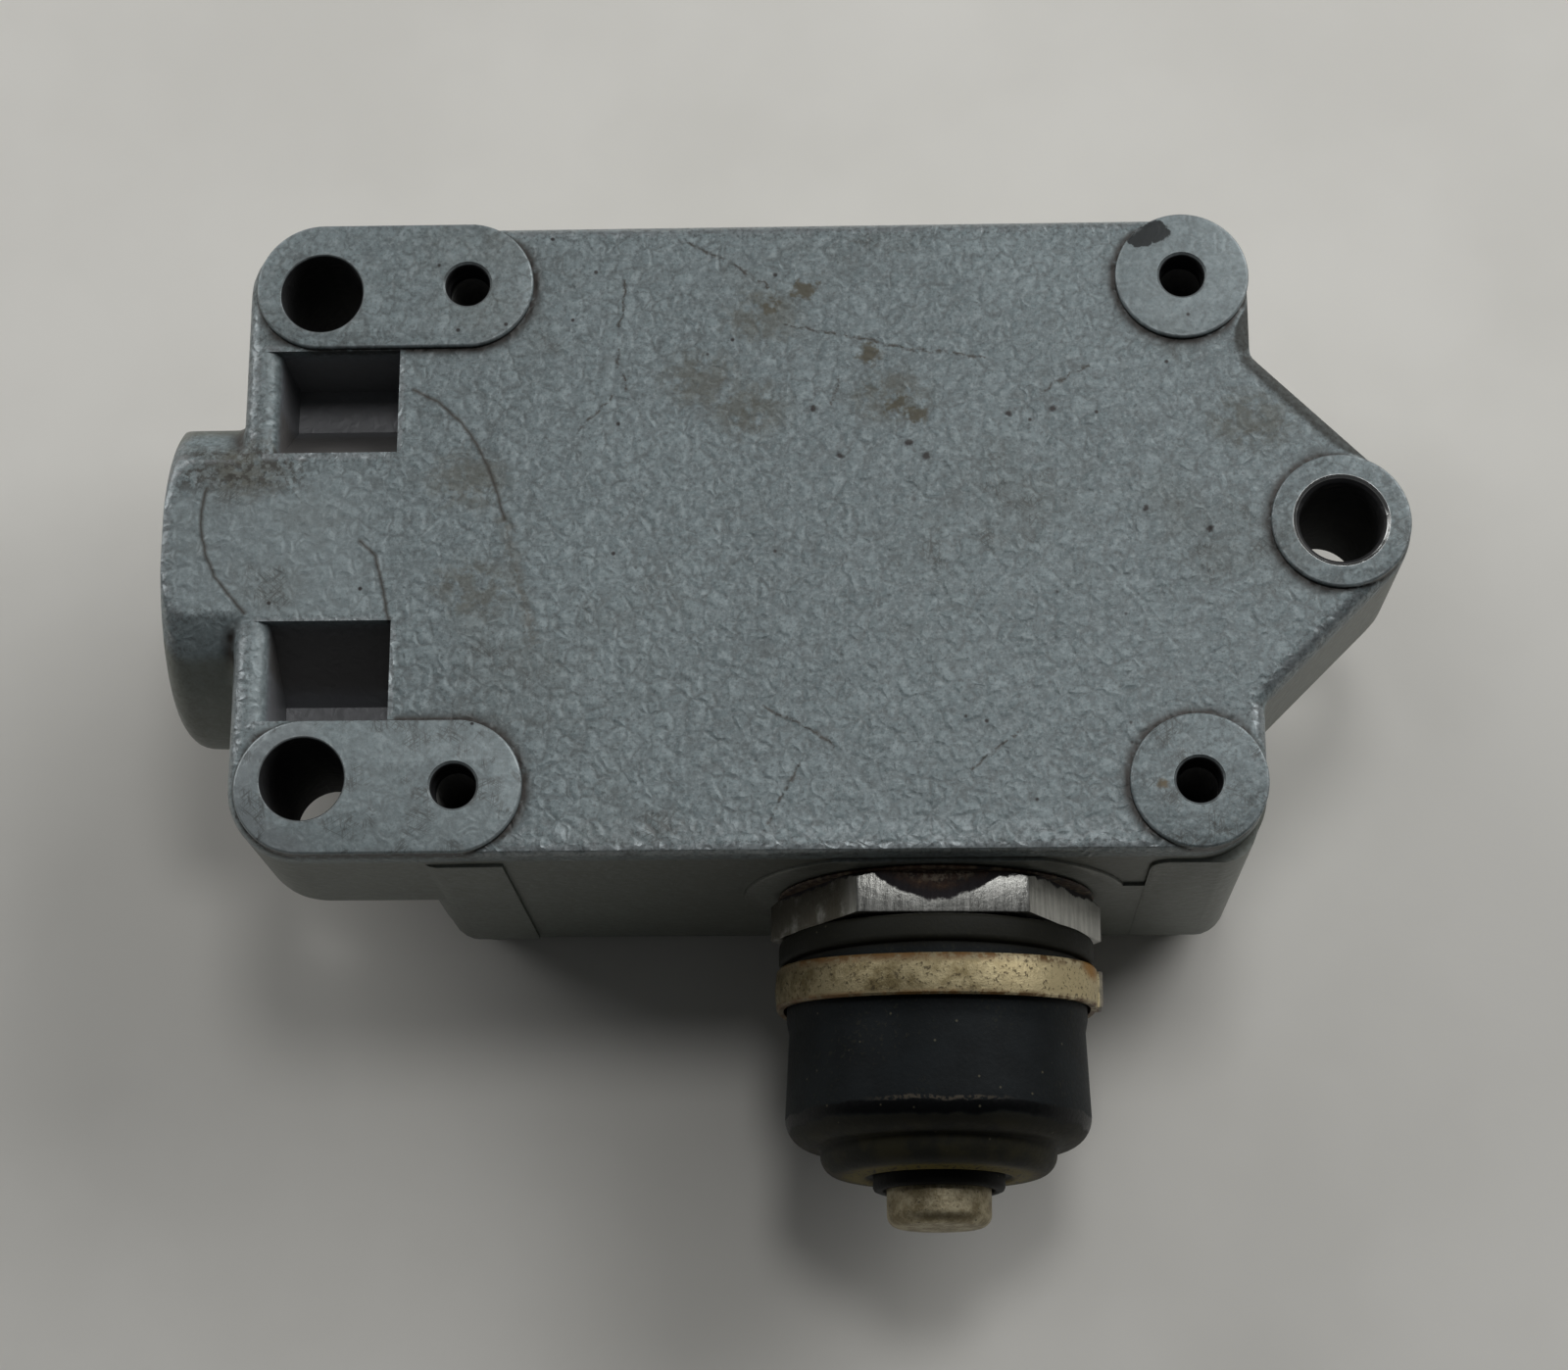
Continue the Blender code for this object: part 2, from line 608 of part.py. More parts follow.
def make_housing(root):
    outline = rounded_rectangle(HALF_LENGTH, HALF_WIDTH, COLUMN_RADIUS)
    made = prism("housing", outline, RIM_Z, FACE_Z, round_low=RIM_EDGE_ROUND, round_high=EDGE_ROUND)
    join(made, *housing_solids())
    cut(made, *housing_cuts())
    screw_hole = CASE_SCREW_RADIUS + SEAT_GAP
    screw_top = CASE_HIGH_Z + SEAT_GAP + CASE_SCREW_GRIP + SEAT_GAP
    for x in CASE_SCREWS_X:
        standoff = hole(x, CASE_SCREW_Y, STANDOFF_RADIUS, CASE_HIGH_Z + SEAT_GAP, ROOF_Z + ROOT)
        cut(standoff, hole(x, CASE_SCREW_Y, screw_hole, CASE_HIGH_Z - OVERCUT, screw_top))
        join(made, standoff)
    place(finish(made, PAINT), root)


def make_cover(root):
    half_x = HALF_LENGTH - COVER_INSET
    half_y = HALF_WIDTH - COVER_INSET
    outline = rounded_rectangle(half_x, half_y, COLUMN_RADIUS - COVER_INSET)
    made = prism("cover", outline, 0, COVER_THICKNESS, round_low=COVER_EDGE_ROUND)
    mouth = COVER_SCREW_HEAD_RADIUS + COVER_SCREW_SINK + sqrt(2) * SEAT_GAP
    neck = mouth - COVER_SCREW_HOLE_RADIUS
    profile = [
        (0, -OVERCUT), (mouth, -OVERCUT), (mouth, 0), (COVER_SCREW_HOLE_RADIUS, neck),
        (COVER_SCREW_HOLE_RADIUS, COVER_THICKNESS + OVERCUT), (0, COVER_THICKNESS + OVERCUT),
    ]
    for x, y in COLUMNS:
        cut(made, turn_mesh(turned("sink", profile, SMALL_STEPS), 0, "Z", (x, y, 0)))
    place(finish(made, PAINT), root)


def make_cover_screws(root):
    head = COVER_SCREW_HEAD_RADIUS - COVER_SCREW_RADIUS
    profile = [
        (0, -COVER_SCREW_LENGTH), (COVER_SCREW_RADIUS, -COVER_SCREW_LENGTH), (COVER_SCREW_RADIUS, -head),
        (COVER_SCREW_HEAD_RADIUS, 0), (0, 0),
    ]
    for number, (x, y) in enumerate(COLUMNS, start=1):
        made = turned(f"cover_screw_{number}", profile, SMALL_STEPS)
        cut(made, screw_slot(COVER_SCREW_HEAD_RADIUS, 0))
        place(finish(made, PLATED_STEEL), root, (x, y, COVER_SCREW_SINK), DOWN)


def make_gasket_and_liner(root):
    half_x = HALF_LENGTH - GASKET_INSET
    half_y = HALF_WIDTH - GASKET_INSET
    outline = rounded_rectangle(half_x, half_y, COLUMN_RADIUS - GASKET_INSET)
    gasket = prism("cover_gasket", outline, GASKET_Z, GASKET_Z + GASKET_THICKNESS)
    cut(gasket, prism("inside", cavity_outline(), GASKET_Z - OVERCUT, GASKET_Z + OVERCUT))
    for x, y in COLUMNS:
        cut(gasket, hole(x, y, COVER_SCREW_HOLE_RADIUS, GASKET_Z - OVERCUT, GASKET_Z + OVERCUT))
    place(finish(gasket, CORK), root)
    liner = prism("cover_liner", cavity_outline(LINER_MARGIN), GASKET_Z, GASKET_Z + LINER_THICKNESS)
    place(finish(liner, FIBRE), root)


def make_bushing(axis):
    outer = [
        (0, SHANK_IN), (SHANK_RADIUS, SHANK_IN), (SHANK_RADIUS, HEX_IN + HEX_THICKNESS / 2),
        (NECK_RADIUS, HEX_IN + HEX_THICKNESS / 2), (NECK_RADIUS, NECK_OUT), (0, NECK_OUT),
    ]
    made = turned("plunger_bushing", outer, MEDIUM_STEPS)
    corner = HEX_ACROSS_FLATS / sqrt(3)
    hexagon = arc((0, 0), corner, HEX_TURN, HEX_TURN + 2 * pi, 6)[:-1]
    flange = prism("hexagon", hexagon, HEX_IN, HEX_OUT)
    flat = corner - HEX_CHAMFER
    limit = [
        (0, HEX_IN - SEAT_GAP), (flat, HEX_IN - SEAT_GAP), (flat, HEX_IN),
        (corner + HEX_CHAMFER, HEX_IN + HEX_CHAMFER), (corner + HEX_CHAMFER, HEX_OUT + SEAT_GAP),
        (0, HEX_OUT + SEAT_GAP),
    ]
    combine(flange, turned("limit", limit, LARGE_STEPS), "INTERSECT")
    join(made, flange)
    groove = CHAMBER_RADIUS + GROOVE_DEPTH
    groove_out = SEAT_RING_OUT + SEAT_GAP
    guide_radius = SHAFT_RADIUS + RUNNING_GAP
    bore = [
        (0, SHANK_IN - OVERCUT), (CHAMBER_RADIUS, SHANK_IN - OVERCUT), (CHAMBER_RADIUS, GROOVE_IN),
        (groove, GROOVE_IN), (groove, groove_out), (CHAMBER_RADIUS, groove_out),
        (CHAMBER_RADIUS, CHAMBER_OUT), (guide_radius, CHAMBER_OUT), (guide_radius, NECK_OUT + OVERCUT),
        (0, NECK_OUT + OVERCUT),
    ]
    cut(made, turned("bore", bore, MEDIUM_STEPS))
    place(finish(made, PLATED_STEEL), axis)


def make_bushing_seal(axis):
    hole_radius = SHANK_RADIUS + SEAT_GAP
    out = SEAL_IN + SEAL_THICKNESS
    profile = [(hole_radius, SEAL_IN), (SEAL_RADIUS, SEAL_IN), (SEAL_RADIUS, out), (hole_radius, out)]
    place(finish(turned("bushing_seal", profile, LARGE_STEPS), FIBRE), axis)


def make_spring_seat(axis):
    hole_radius = SLEEVE_RADIUS + RUNNING_GAP
    rim = CHAMBER_RADIUS - SEAT_GAP
    profile = [
        (hole_radius, SPRING_SEAT_IN), (rim, SPRING_SEAT_IN), (rim, SPRING_SEAT_OUT),
        (hole_radius, SPRING_SEAT_OUT),
    ]
    place(finish(turned("spring_seat", profile), PLATED_STEEL), axis)
    outer = CHAMBER_RADIUS + GROOVE_DEPTH - SEAT_GAP
    half_gap = SEAT_RING_OPENING / 2
    sweep = (half_gap, 2 * pi - half_gap)
    outline = arc((0, 0), outer, *sweep, MEDIUM_STEPS)
    outline += arc((0, 0), outer - SEAT_RING_WIDTH, *reversed(sweep), MEDIUM_STEPS)
    ring = prism("seat_ring", outline, SEAT_RING_IN, SEAT_RING_OUT)
    place(finish(ring, SPRING_STEEL), axis)


def boot_profile():
    shoulder = BOOT_RADIUS + BOOT_FLARE - BOOT_SHOULDER_ROUND
    inner_radius = BOOT_BORE_RADIUS - BOOT_INNER_STEP
    button_hole = BUTTON_RADIUS + RUNNING_GAP
    neck_end = NECK_OUT + SEAT_GAP
    outside = [(BOOT_BEAD_RADIUS, BOOT_IN), (BOOT_BEAD_RADIUS, BOOT_IN + BOOT_BEAD_LENGTH)]
    outside += [(BOOT_RADIUS, BOOT_IN + BOOT_BEAD_LENGTH), (BOOT_RADIUS, BAND_OUT)]
    outside += arc((shoulder, BOOT_OUT - BOOT_SHOULDER_ROUND), BOOT_SHOULDER_ROUND, 0, pi / 2, FILLET_STEPS)
    outside += [(TIER_RADIUS, BOOT_OUT)]
    outside += arc((TIER_RADIUS - TIER_ROUND, TIER_OUT - TIER_ROUND), TIER_ROUND, 0, pi / 2, FILLET_STEPS)
    outside += [(TIER_END_RADIUS, TIER_OUT), (LIP_RADIUS, TIER_OUT), (LIP_RADIUS, LIP_OUT - SEAT_GAP)]
    outside += [(LIP_RADIUS - SEAT_GAP, LIP_OUT), (button_hole, LIP_OUT)]
    tier_inside = TIER_RADIUS - BOOT_WALL
    shoulder_inside = BOOT_OUT - BOOT_WALL
    inside = [(button_hole, TIER_OUT - BOOT_WALL), (tier_inside - TIER_ROUND, TIER_OUT - BOOT_WALL)]
    inside += [(tier_inside, shoulder_inside), (inner_radius - BOOT_WALL, shoulder_inside)]
    inside += [(inner_radius, shoulder_inside - BOOT_WALL), (inner_radius, neck_end)]
    inside += [(BOOT_BORE_RADIUS, neck_end), (BOOT_BORE_RADIUS, BOOT_IN)]
    return outside + inside


def make_boot(axis):
    place(finish(turned("boot", boot_profile()), RUBBER), axis)


def make_boot_clamp(axis):
    outer = BAND_INNER_RADIUS + BAND_THICKNESS
    profile = [(BAND_INNER_RADIUS, BAND_IN), (outer, BAND_IN), (outer, BAND_OUT)]
    profile += [(BAND_INNER_RADIUS, BAND_OUT)]
    made = turned("boot_clamp", profile, LARGE_STEPS)
    inner = outer - BAND_THICKNESS / 2
    margin = BAND_THICKNESS / 2
    lap = box(
        "lap", (inner, -BAND_LAP_HALF_WIDTH, BAND_IN + margin),
        (outer + BAND_LAP_PROUD, BAND_LAP_HALF_WIDTH, BAND_OUT - margin),
    )
    place(finish(join(made, lap), DULL_BRASS), axis)


def make_plunger(axis):
    lip = TIP_RADIUS + RUNNING_GAP
    profile = [
        (0, SHAFT_OUT), (SHAFT_RADIUS, SHAFT_OUT), (SHAFT_RADIUS, COLLAR_OUT), (COLLAR_RADIUS, COLLAR_OUT),
        (COLLAR_RADIUS, COLLAR_IN), (SLEEVE_RADIUS, COLLAR_IN), (SLEEVE_RADIUS, SLEEVE_IN),
        (lip, SLEEVE_IN), (lip, SLEEVE_IN + SLEEVE_LIP), (SLEEVE_BORE_RADIUS, SLEEVE_IN + SLEEVE_LIP),
        (SLEEVE_BORE_RADIUS, BORE_OUT), (0, BORE_OUT),
    ]
    place(finish(turned("plunger_shaft", profile), PLATED_STEEL), axis)
    socket = SHAFT_RADIUS + SEAT_GAP
    cap = BUTTON_RADIUS - BUTTON_ROUND
    profile = [(0, SHAFT_OUT + SEAT_GAP), (socket, SHAFT_OUT + SEAT_GAP), (socket, BUTTON_IN)]
    profile += [(BUTTON_RADIUS, BUTTON_IN)]
    profile += arc((cap, BUTTON_OUT - BUTTON_ROUND), BUTTON_ROUND, 0, pi / 2, FILLET_STEPS)
    profile += [(0, BUTTON_OUT)]
    place(finish(turned("plunger_button", profile), NICKEL), axis)


def make_overtravel_tip(axis):
    profile = [
        (0, PIN_OUT + SEAT_GAP), (TIP_RADIUS, PIN_OUT + SEAT_GAP), (TIP_RADIUS, TIP_FLANGE_IN),
        (TIP_FLANGE_RADIUS, TIP_FLANGE_IN), (TIP_FLANGE_RADIUS, TIP_FLANGE_OUT),
        (TIP_GUIDE_RADIUS, TIP_FLANGE_OUT), (TIP_GUIDE_RADIUS, TIP_FLANGE_OUT + TIP_GUIDE_LENGTH),
        (0, TIP_FLANGE_OUT + TIP_GUIDE_LENGTH),
    ]
    place(finish(turned("overtravel_tip", profile, SMALL_STEPS), PLATED_STEEL), axis)


def make_springs(axis):
    returning = spring(
        "return_spring", RETURN_SPRING_RADIUS, RETURN_SPRING_WIRE, RETURN_SPRING_TURNS,
        SPRING_SEAT_OUT + SEAT_GAP, COLLAR_IN - SEAT_GAP,
    )
    overtravel = spring(
        "overtravel_spring", OVERTRAVEL_SPRING_RADIUS, OVERTRAVEL_SPRING_WIRE, OVERTRAVEL_SPRING_TURNS,
        TIP_FLANGE_OUT + SEAT_GAP, BORE_OUT - SEAT_GAP,
    )
    for made in (returning, overtravel):
        place(finish(made, SPRING_STEEL), axis)


def make_switch_case(root):
    made = box("switch_case", (CASE_LEFT, CASE_Y, CASE_LOW_Z), (CASE_RIGHT, CASE_BACK_Y, CASE_HIGH_Z))
    inside = box(
        "inside", (CASE_LEFT + CASE_END_WALL, CASE_CEILING_Y, CASE_LOW_Z + CASE_SIDE_WALL),
        (CASE_RIGHT - CASE_END_WALL, CASE_BACK_Y + OVERCUT, CASE_HIGH_Z - CASE_SIDE_WALL),
    )
    for x in CASE_SCREWS_X:
        cut(inside, hole(x, CASE_SCREW_Y, PILLAR_RADIUS, CASE_LOW_Z, CASE_HIGH_Z))
    cut(made, inside)
    for x in CASE_SCREWS_X:
        screw_hole = CASE_SCREW_RADIUS + SEAT_GAP
        cut(made, hole(x, CASE_SCREW_Y, screw_hole, CASE_LOW_Z - OVERCUT, CASE_HIGH_Z + OVERCUT))
    pin_hole = hole(0, 0, PIN_RADIUS + RUNNING_GAP, CASE_OUT - OVERCUT, CASE_OUT + OVERCUT)
    cut(made, turn_mesh(pin_hole, pi / 2, "X", (PLUNGER_X, 0, AXIS_Z)))
    place(finish(made, PHENOLIC), root)


def make_switch_pin(axis):
    flange_out = -CASE_CEILING_Y - PIN_FLANGE_DROP
    flange_in = flange_out - PIN_FLANGE_THICKNESS
    pin_in = -BLADE_Y + SEAT_GAP
    profile = [
        (0, PIN_OUT), (PIN_RADIUS, PIN_OUT), (PIN_RADIUS, flange_out), (PIN_FLANGE_RADIUS, flange_out),
        (PIN_FLANGE_RADIUS, flange_in), (PIN_RADIUS, flange_in), (PIN_RADIUS, pin_in), (0, pin_in),
    ]
    place(finish(turned("switch_pin", profile, SMALL_STEPS), PIN_PLASTIC), axis)


def terminals():
    # Each terminal: its name, the boxes it is folded from, and its screw's place across X and Z.
    half_post = COMMON_POST_LENGTH / 2
    half_common = COMMON_POST_HALF_WIDTH
    common_left = COMMON_X - half_post
    common_right = common_left + COMMON_TAB_LENGTH
    open_right = CONTACT_X + OPEN_POST_LENGTH / 2
    open_left = CONTACT_X - OPEN_POST_LENGTH / 2
    open_tab = open_right - TAB_LENGTH
    open_low = AXIS_Z - POST_SPLIT - TAB_WIDTH
    closed_tab = CLOSED_LEG_RIGHT - TAB_LENGTH + TERMINAL_SCREW_INSET
    closed_low = AXIS_Z + POST_SPLIT
    arm_left = CONTACT_X - CLOSED_ARM_OVERLAP
    leg_middle = CLOSED_LEG_LEFT + CLOSED_LEG_LENGTH / 2
    common = [
        ((common_left, BLADE_BACK_Y + SEAT_GAP, AXIS_Z - half_common),
         (COMMON_X + half_post, POST_TOP_Y, AXIS_Z + half_common)),
        ((common_left + TAB_SETBACK, TAB_Y, AXIS_Z - TAB_WIDTH / 2),
         (common_right, TAB_TOP_Y, AXIS_Z + TAB_WIDTH / 2)),
    ]
    normally_open = [
        ((open_left, OPEN_POST_Y, open_low + TAB_SETBACK), (open_right, POST_TOP_Y, AXIS_Z)),
        ((open_tab, TAB_Y, open_low), (open_left + TAB_SETBACK, TAB_TOP_Y, AXIS_Z - POST_SPLIT)),
    ]
    closed_high = closed_low + TAB_WIDTH
    normally_closed = [
        ((CLOSED_LEG_LEFT, CLOSED_ARM_Y, closed_low + TAB_SETBACK),
         (CLOSED_LEG_RIGHT, POST_TOP_Y, closed_high - TAB_SETBACK)),
        ((closed_tab, TAB_Y, closed_low), (leg_middle, TAB_TOP_Y, closed_high)),
        ((arm_left, CLOSED_ARM_Y - CLOSED_ARM_STEP, AXIS_Z - CONTACT_RADIUS),
         (leg_middle, CLOSED_ARM_Y + CLOSED_ARM_THICKNESS, closed_low + TAB_WIDTH / 2)),
    ]
    return [
        ("common_terminal", common, common_right - TERMINAL_SCREW_INSET, AXIS_Z),
        ("open_terminal", normally_open, open_tab + TERMINAL_SCREW_INSET, open_low + TAB_WIDTH / 2),
        ("closed_terminal", normally_closed, closed_tab + TERMINAL_SCREW_INSET, closed_low + TAB_WIDTH / 2),
    ]


def make_terminals(root):
    low = (CASE_LEFT, BASE_Y, CASE_LOW_Z)
    base = box("switch_base", low, (CASE_RIGHT, BASE_Y + BASE_THICKNESS, CASE_HIGH_Z))
    clearance = TERMINAL_SCREW_RADIUS + SEAT_GAP
    for name, boxes, screw_x, screw_z in terminals():
        post_low, post_high = boxes[0]
        slot_low = (post_low[0] - SEAT_GAP, BASE_Y - OVERCUT, post_low[2] - SEAT_GAP)
        slot_high = (post_high[0] + SEAT_GAP, TAB_Y + OVERCUT, post_high[2] + SEAT_GAP)
        cut(base, box("slot", slot_low, slot_high))
        made = box(name, *boxes[0])
        join(made, *[box("fold", *corners) for corners in boxes[1:]])
        for target in (made, base):
            screw_hole = hole(0, 0, clearance, BASE_Y - OVERCUT, TAB_TOP_Y + OVERCUT)
            cut(target, turn_mesh(screw_hole, -pi / 2, "X", (screw_x, 0, screw_z)))
        place(finish(made, BRASS), root)
        screw = slotted_screw(
            name.replace("terminal", "terminal_screw"), TERMINAL_SCREW_HEAD_RADIUS,
            TERMINAL_SCREW_HEAD_HEIGHT, TERMINAL_SCREW_RADIUS, TERMINAL_SCREW_LENGTH,
        )
        seat = TAB_TOP_Y + SEAT_GAP
        place(finish(screw, PLATED_STEEL), root, (screw_x, seat, screw_z), AGAINST_PLUNGER)
    place(finish(base, PHENOLIC), root)


def make_fixed_contacts(root):
    for name, y in (("closed_contact", CLOSED_CONTACT_Y), ("open_contact", OPEN_CONTACT_Y)):
        disc = prism(name, circle((0, 0), CONTACT_RADIUS, SMALL_STEPS), 0, CONTACT_THICKNESS)
        place(finish(disc, SILVER), root, (CONTACT_X, y, AXIS_Z), AGAINST_PLUNGER)


def make_blade(root):
    pivot = guide("blade_pivot", (COMMON_X, BLADE_Y, AXIS_Z), parent=root)
    left = -COMMON_POST_LENGTH / 2
    reach = CONTACT_X - COMMON_X
    right = reach + BLADE_END
    far_corner = (right, BLADE_THICKNESS, BLADE_HALF_WIDTH)
    blade = box("contact_blade", (left, 0, -BLADE_HALF_WIDTH), far_corner)
    rivet_hole = hole(0, 0, RIVET_RADIUS + SEAT_GAP, -OVERCUT, OVERCUT)
    cut(blade, turn_mesh(rivet_hole, -pi / 2, "X", (reach, 0, 0)))
    place(finish(blade, SPRING_STEEL), pivot)
    near = -SEAT_GAP
    far = BLADE_THICKNESS + SEAT_GAP
    profile = [
        (0, near - CONTACT_THICKNESS), (CONTACT_RADIUS, near - CONTACT_THICKNESS), (CONTACT_RADIUS, near),
        (RIVET_RADIUS, near), (RIVET_RADIUS, far), (CONTACT_RADIUS, far),
        (CONTACT_RADIUS, far + CONTACT_THICKNESS), (0, far + CONTACT_THICKNESS),
    ]
    contact = turned("moving_contact", profile, SMALL_STEPS)
    place(finish(contact, SILVER), pivot, (reach, 0, 0), AGAINST_PLUNGER)


def make_case_screws(root):
    length = SEAT_GAP + CASE_THICKNESS + SEAT_GAP + CASE_SCREW_GRIP
    for number, x in enumerate(CASE_SCREWS_X, start=1):
        made = slotted_screw(
            f"case_screw_{number}", CASE_SCREW_HEAD_RADIUS, CASE_SCREW_HEAD_HEIGHT,
            CASE_SCREW_RADIUS, length,
        )
        place(finish(made, PLATED_STEEL), root, (x, CASE_SCREW_Y, CASE_LOW_Z - SEAT_GAP), DOWN)


def main():
    remove_all()
    root = guide("switch_frame", (0, 0, 0))
    axis = guide("plunger_axis", (PLUNGER_X, 0, AXIS_Z), ALONG_PLUNGER, root)
    make_housing(root)
    make_cover(root)
    make_cover_screws(root)
    make_gasket_and_liner(root)
    make_bushing(axis)
    make_bushing_seal(axis)
    make_spring_seat(axis)
    make_boot(axis)
    make_boot_clamp(axis)
    make_plunger(axis)
    make_overtravel_tip(axis)
    make_springs(axis)
    make_switch_case(root)
    make_switch_pin(axis)
    make_terminals(root)
    make_fixed_contacts(root)
    make_blade(root)
    make_case_screws(root)


main()
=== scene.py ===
import json
from math import cos, pi, radians, sin

import bpy
import numpy as np
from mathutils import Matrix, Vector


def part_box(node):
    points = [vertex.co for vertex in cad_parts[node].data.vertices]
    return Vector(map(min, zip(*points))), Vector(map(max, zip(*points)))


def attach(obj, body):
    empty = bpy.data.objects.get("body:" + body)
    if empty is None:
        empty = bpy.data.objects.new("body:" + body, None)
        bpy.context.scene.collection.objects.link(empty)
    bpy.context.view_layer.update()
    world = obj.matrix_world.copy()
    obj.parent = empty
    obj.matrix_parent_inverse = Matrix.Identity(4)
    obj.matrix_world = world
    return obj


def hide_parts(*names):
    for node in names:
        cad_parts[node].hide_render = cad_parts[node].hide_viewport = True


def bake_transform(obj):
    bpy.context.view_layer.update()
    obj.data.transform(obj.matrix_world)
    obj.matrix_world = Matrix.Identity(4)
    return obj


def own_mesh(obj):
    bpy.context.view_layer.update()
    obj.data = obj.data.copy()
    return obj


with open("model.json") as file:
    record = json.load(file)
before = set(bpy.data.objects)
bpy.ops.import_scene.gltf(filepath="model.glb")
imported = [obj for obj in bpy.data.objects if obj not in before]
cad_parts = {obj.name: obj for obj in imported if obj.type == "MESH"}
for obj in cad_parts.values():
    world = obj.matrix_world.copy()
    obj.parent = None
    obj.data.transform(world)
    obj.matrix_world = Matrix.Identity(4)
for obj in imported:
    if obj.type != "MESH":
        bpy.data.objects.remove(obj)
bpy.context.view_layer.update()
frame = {"nodes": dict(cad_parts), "record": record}
print("frame loaded:", len(frame["nodes"]), "nodes")

# Pieces are modelled in millimetres and brought to metres when they are finished
mm = 0.001


def boxInMm(node):
    low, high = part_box(node)
    return low / mm, high / mm


housingLow, housingHigh = boxInMm("housing")
buttonLow, buttonHigh = boxInMm("plunger_button")
plungerX = (buttonLow.x + buttonHigh.x) / 2
plungerZ = (buttonLow.z + buttonHigh.z) / 2
padZ = housingHigh.z       # top of the raised pads, the mounting face
rimZ = housingLow.z        # lower rim, where the cover seal lies


# Selection and modelling helpers

def deselectAll():
    if bpy.context.mode != "OBJECT":
        bpy.ops.object.mode_set(mode="OBJECT")
    bpy.ops.object.select_all(action="DESELECT")


def pick(piece):
    deselectAll()
    piece.select_set(True)
    bpy.context.view_layer.objects.active = piece
    return piece


def nameNew(name):
    piece = bpy.context.active_object
    piece.name = name
    piece.data.name = name
    return piece


def editAll(piece):
    pick(piece)
    bpy.ops.object.mode_set(mode="EDIT")
    bpy.context.tool_settings.mesh_select_mode = (True, False, False)
    bpy.ops.mesh.select_all(action="SELECT")


def backToObject():
    bpy.ops.object.mode_set(mode="OBJECT")


def applyPlace(piece):
    pick(piece)
    bpy.ops.object.transform_apply(location=True, rotation=True, scale=True)
    return piece


def addBlock(name, low, high, turn=0):
    deselectAll()
    middle = [(a + b) / 2 for a, b in zip(low, high)]
    bpy.ops.mesh.primitive_cube_add(size=1, location=middle, rotation=(0, 0, turn))
    piece = nameNew(name)
    piece.scale = [b - a for a, b in zip(low, high)]
    return applyPlace(piece)


def addRod(name, radius, start, end, sides=64):    # a cylinder from one point to another, along one axis
    deselectAll()
    middle = [(a + b) / 2 for a, b in zip(start, end)]
    reach = [b - a for a, b in zip(start, end)]
    turn = (0, pi / 2, 0) if reach[0] else (pi / 2, 0, 0) if reach[1] else (0, 0, 0)
    depth = max(abs(r) for r in reach)
    bpy.ops.mesh.primitive_cylinder_add(
        vertices=sides, radius=radius, depth=depth, location=middle, rotation=turn)
    return applyPlace(nameNew(name))


def selectWhere(piece, test):    # selects the edges whose two ends both pass the test
    pick(piece)
    mesh = piece.data
    for items in (mesh.vertices, mesh.edges, mesh.polygons):
        items.foreach_set("select", [False] * len(items))
    for edge in mesh.edges:
        edge.select = test(*[mesh.vertices[i].co for i in edge.vertices])
    bpy.context.tool_settings.mesh_select_mode = (False, True, False)
    bpy.ops.object.mode_set(mode="EDIT")


def bevelWhere(piece, width, segments, test):
    selectWhere(piece, test)
    bpy.ops.mesh.bevel(offset=width, segments=segments, affect="EDGES", profile=0.5)
    backToObject()
    return piece


def near(a, b):
    return abs(a - b) < 0.01


def standing(a, b):
    return near(a.x, b.x) and near(a.y, b.y)


def atHeight(z):
    return lambda a, b: near(a.z, z) and near(b.z, z)


def arcPoints(radius, height, bend, start, end, steps=5):    # (radius, height) points round a corner
    angles = [radians(start + (end - start) * step / steps) for step in range(steps + 1)]
    return [(radius + bend * cos(angle), height + bend * sin(angle)) for angle in angles]


def turnProfile(name, profile, sides=96, ring=False):
    # A circle is extruded and resized from point to point of the (radius, height) profile.
    deselectAll()
    radius, height = profile[0]
    bpy.ops.mesh.primitive_circle_add(vertices=sides, radius=radius, location=(0, 0, height))
    piece = applyPlace(nameNew(name))
    editAll(piece)
    for nextRadius, nextHeight in profile[1:] + (profile[:1] if ring else []):
        bpy.ops.mesh.extrude_region_move(TRANSFORM_OT_translate={"value": (0, 0, nextHeight - height)})
        share = nextRadius / radius
        bpy.ops.transform.resize(value=(share, share, 1), center_override=(0, 0, nextHeight))
        radius, height = nextRadius, nextHeight
    bpy.ops.mesh.select_all(action="SELECT")
    if ring:
        bpy.ops.mesh.remove_doubles(threshold=0.0005)
    else:
        bpy.ops.mesh.fill_holes(sides=0)
    bpy.ops.mesh.select_all(action="SELECT")
    bpy.ops.mesh.normals_make_consistent(inside=False)
    backToObject()
    return piece


def alongPlunger(piece):    # a piece turned round Z goes on the plunger's axis, its top outwards
    piece.rotation_euler = (pi / 2, 0, 0)
    piece.location = (plungerX, 0, plungerZ)
    return applyPlace(piece)


def moveTo(piece, place, turn=(0, 0, 0)):
    piece.rotation_euler = turn
    piece.location = place
    return applyPlace(piece)


def applyModifier(piece, kind, **settings):
    pick(piece)
    modifier = piece.modifiers.new(kind.lower(), kind)
    for key, value in settings.items():
        setattr(modifier, key, value)
    bpy.ops.object.modifier_apply(modifier=modifier.name)
    return piece


def combine(piece, operation, *tools):
    for tool in tools:
        applyModifier(piece, "BOOLEAN", operation=operation, solver="MANIFOLD", object=tool)
        bpy.data.objects.remove(tool)
    return piece


def copyPiece(piece, name):
    pick(piece)
    bpy.ops.object.duplicate(linked=False)
    return nameNew(name)


def finishPiece(piece, material, smoothAngle=35):
    piece.scale = (mm, mm, mm)
    applyPlace(piece)
    bpy.ops.object.shade_smooth_by_angle(angle=radians(smoothAngle))
    piece.data.materials.clear()
    piece.data.materials.append(material)
    return piece


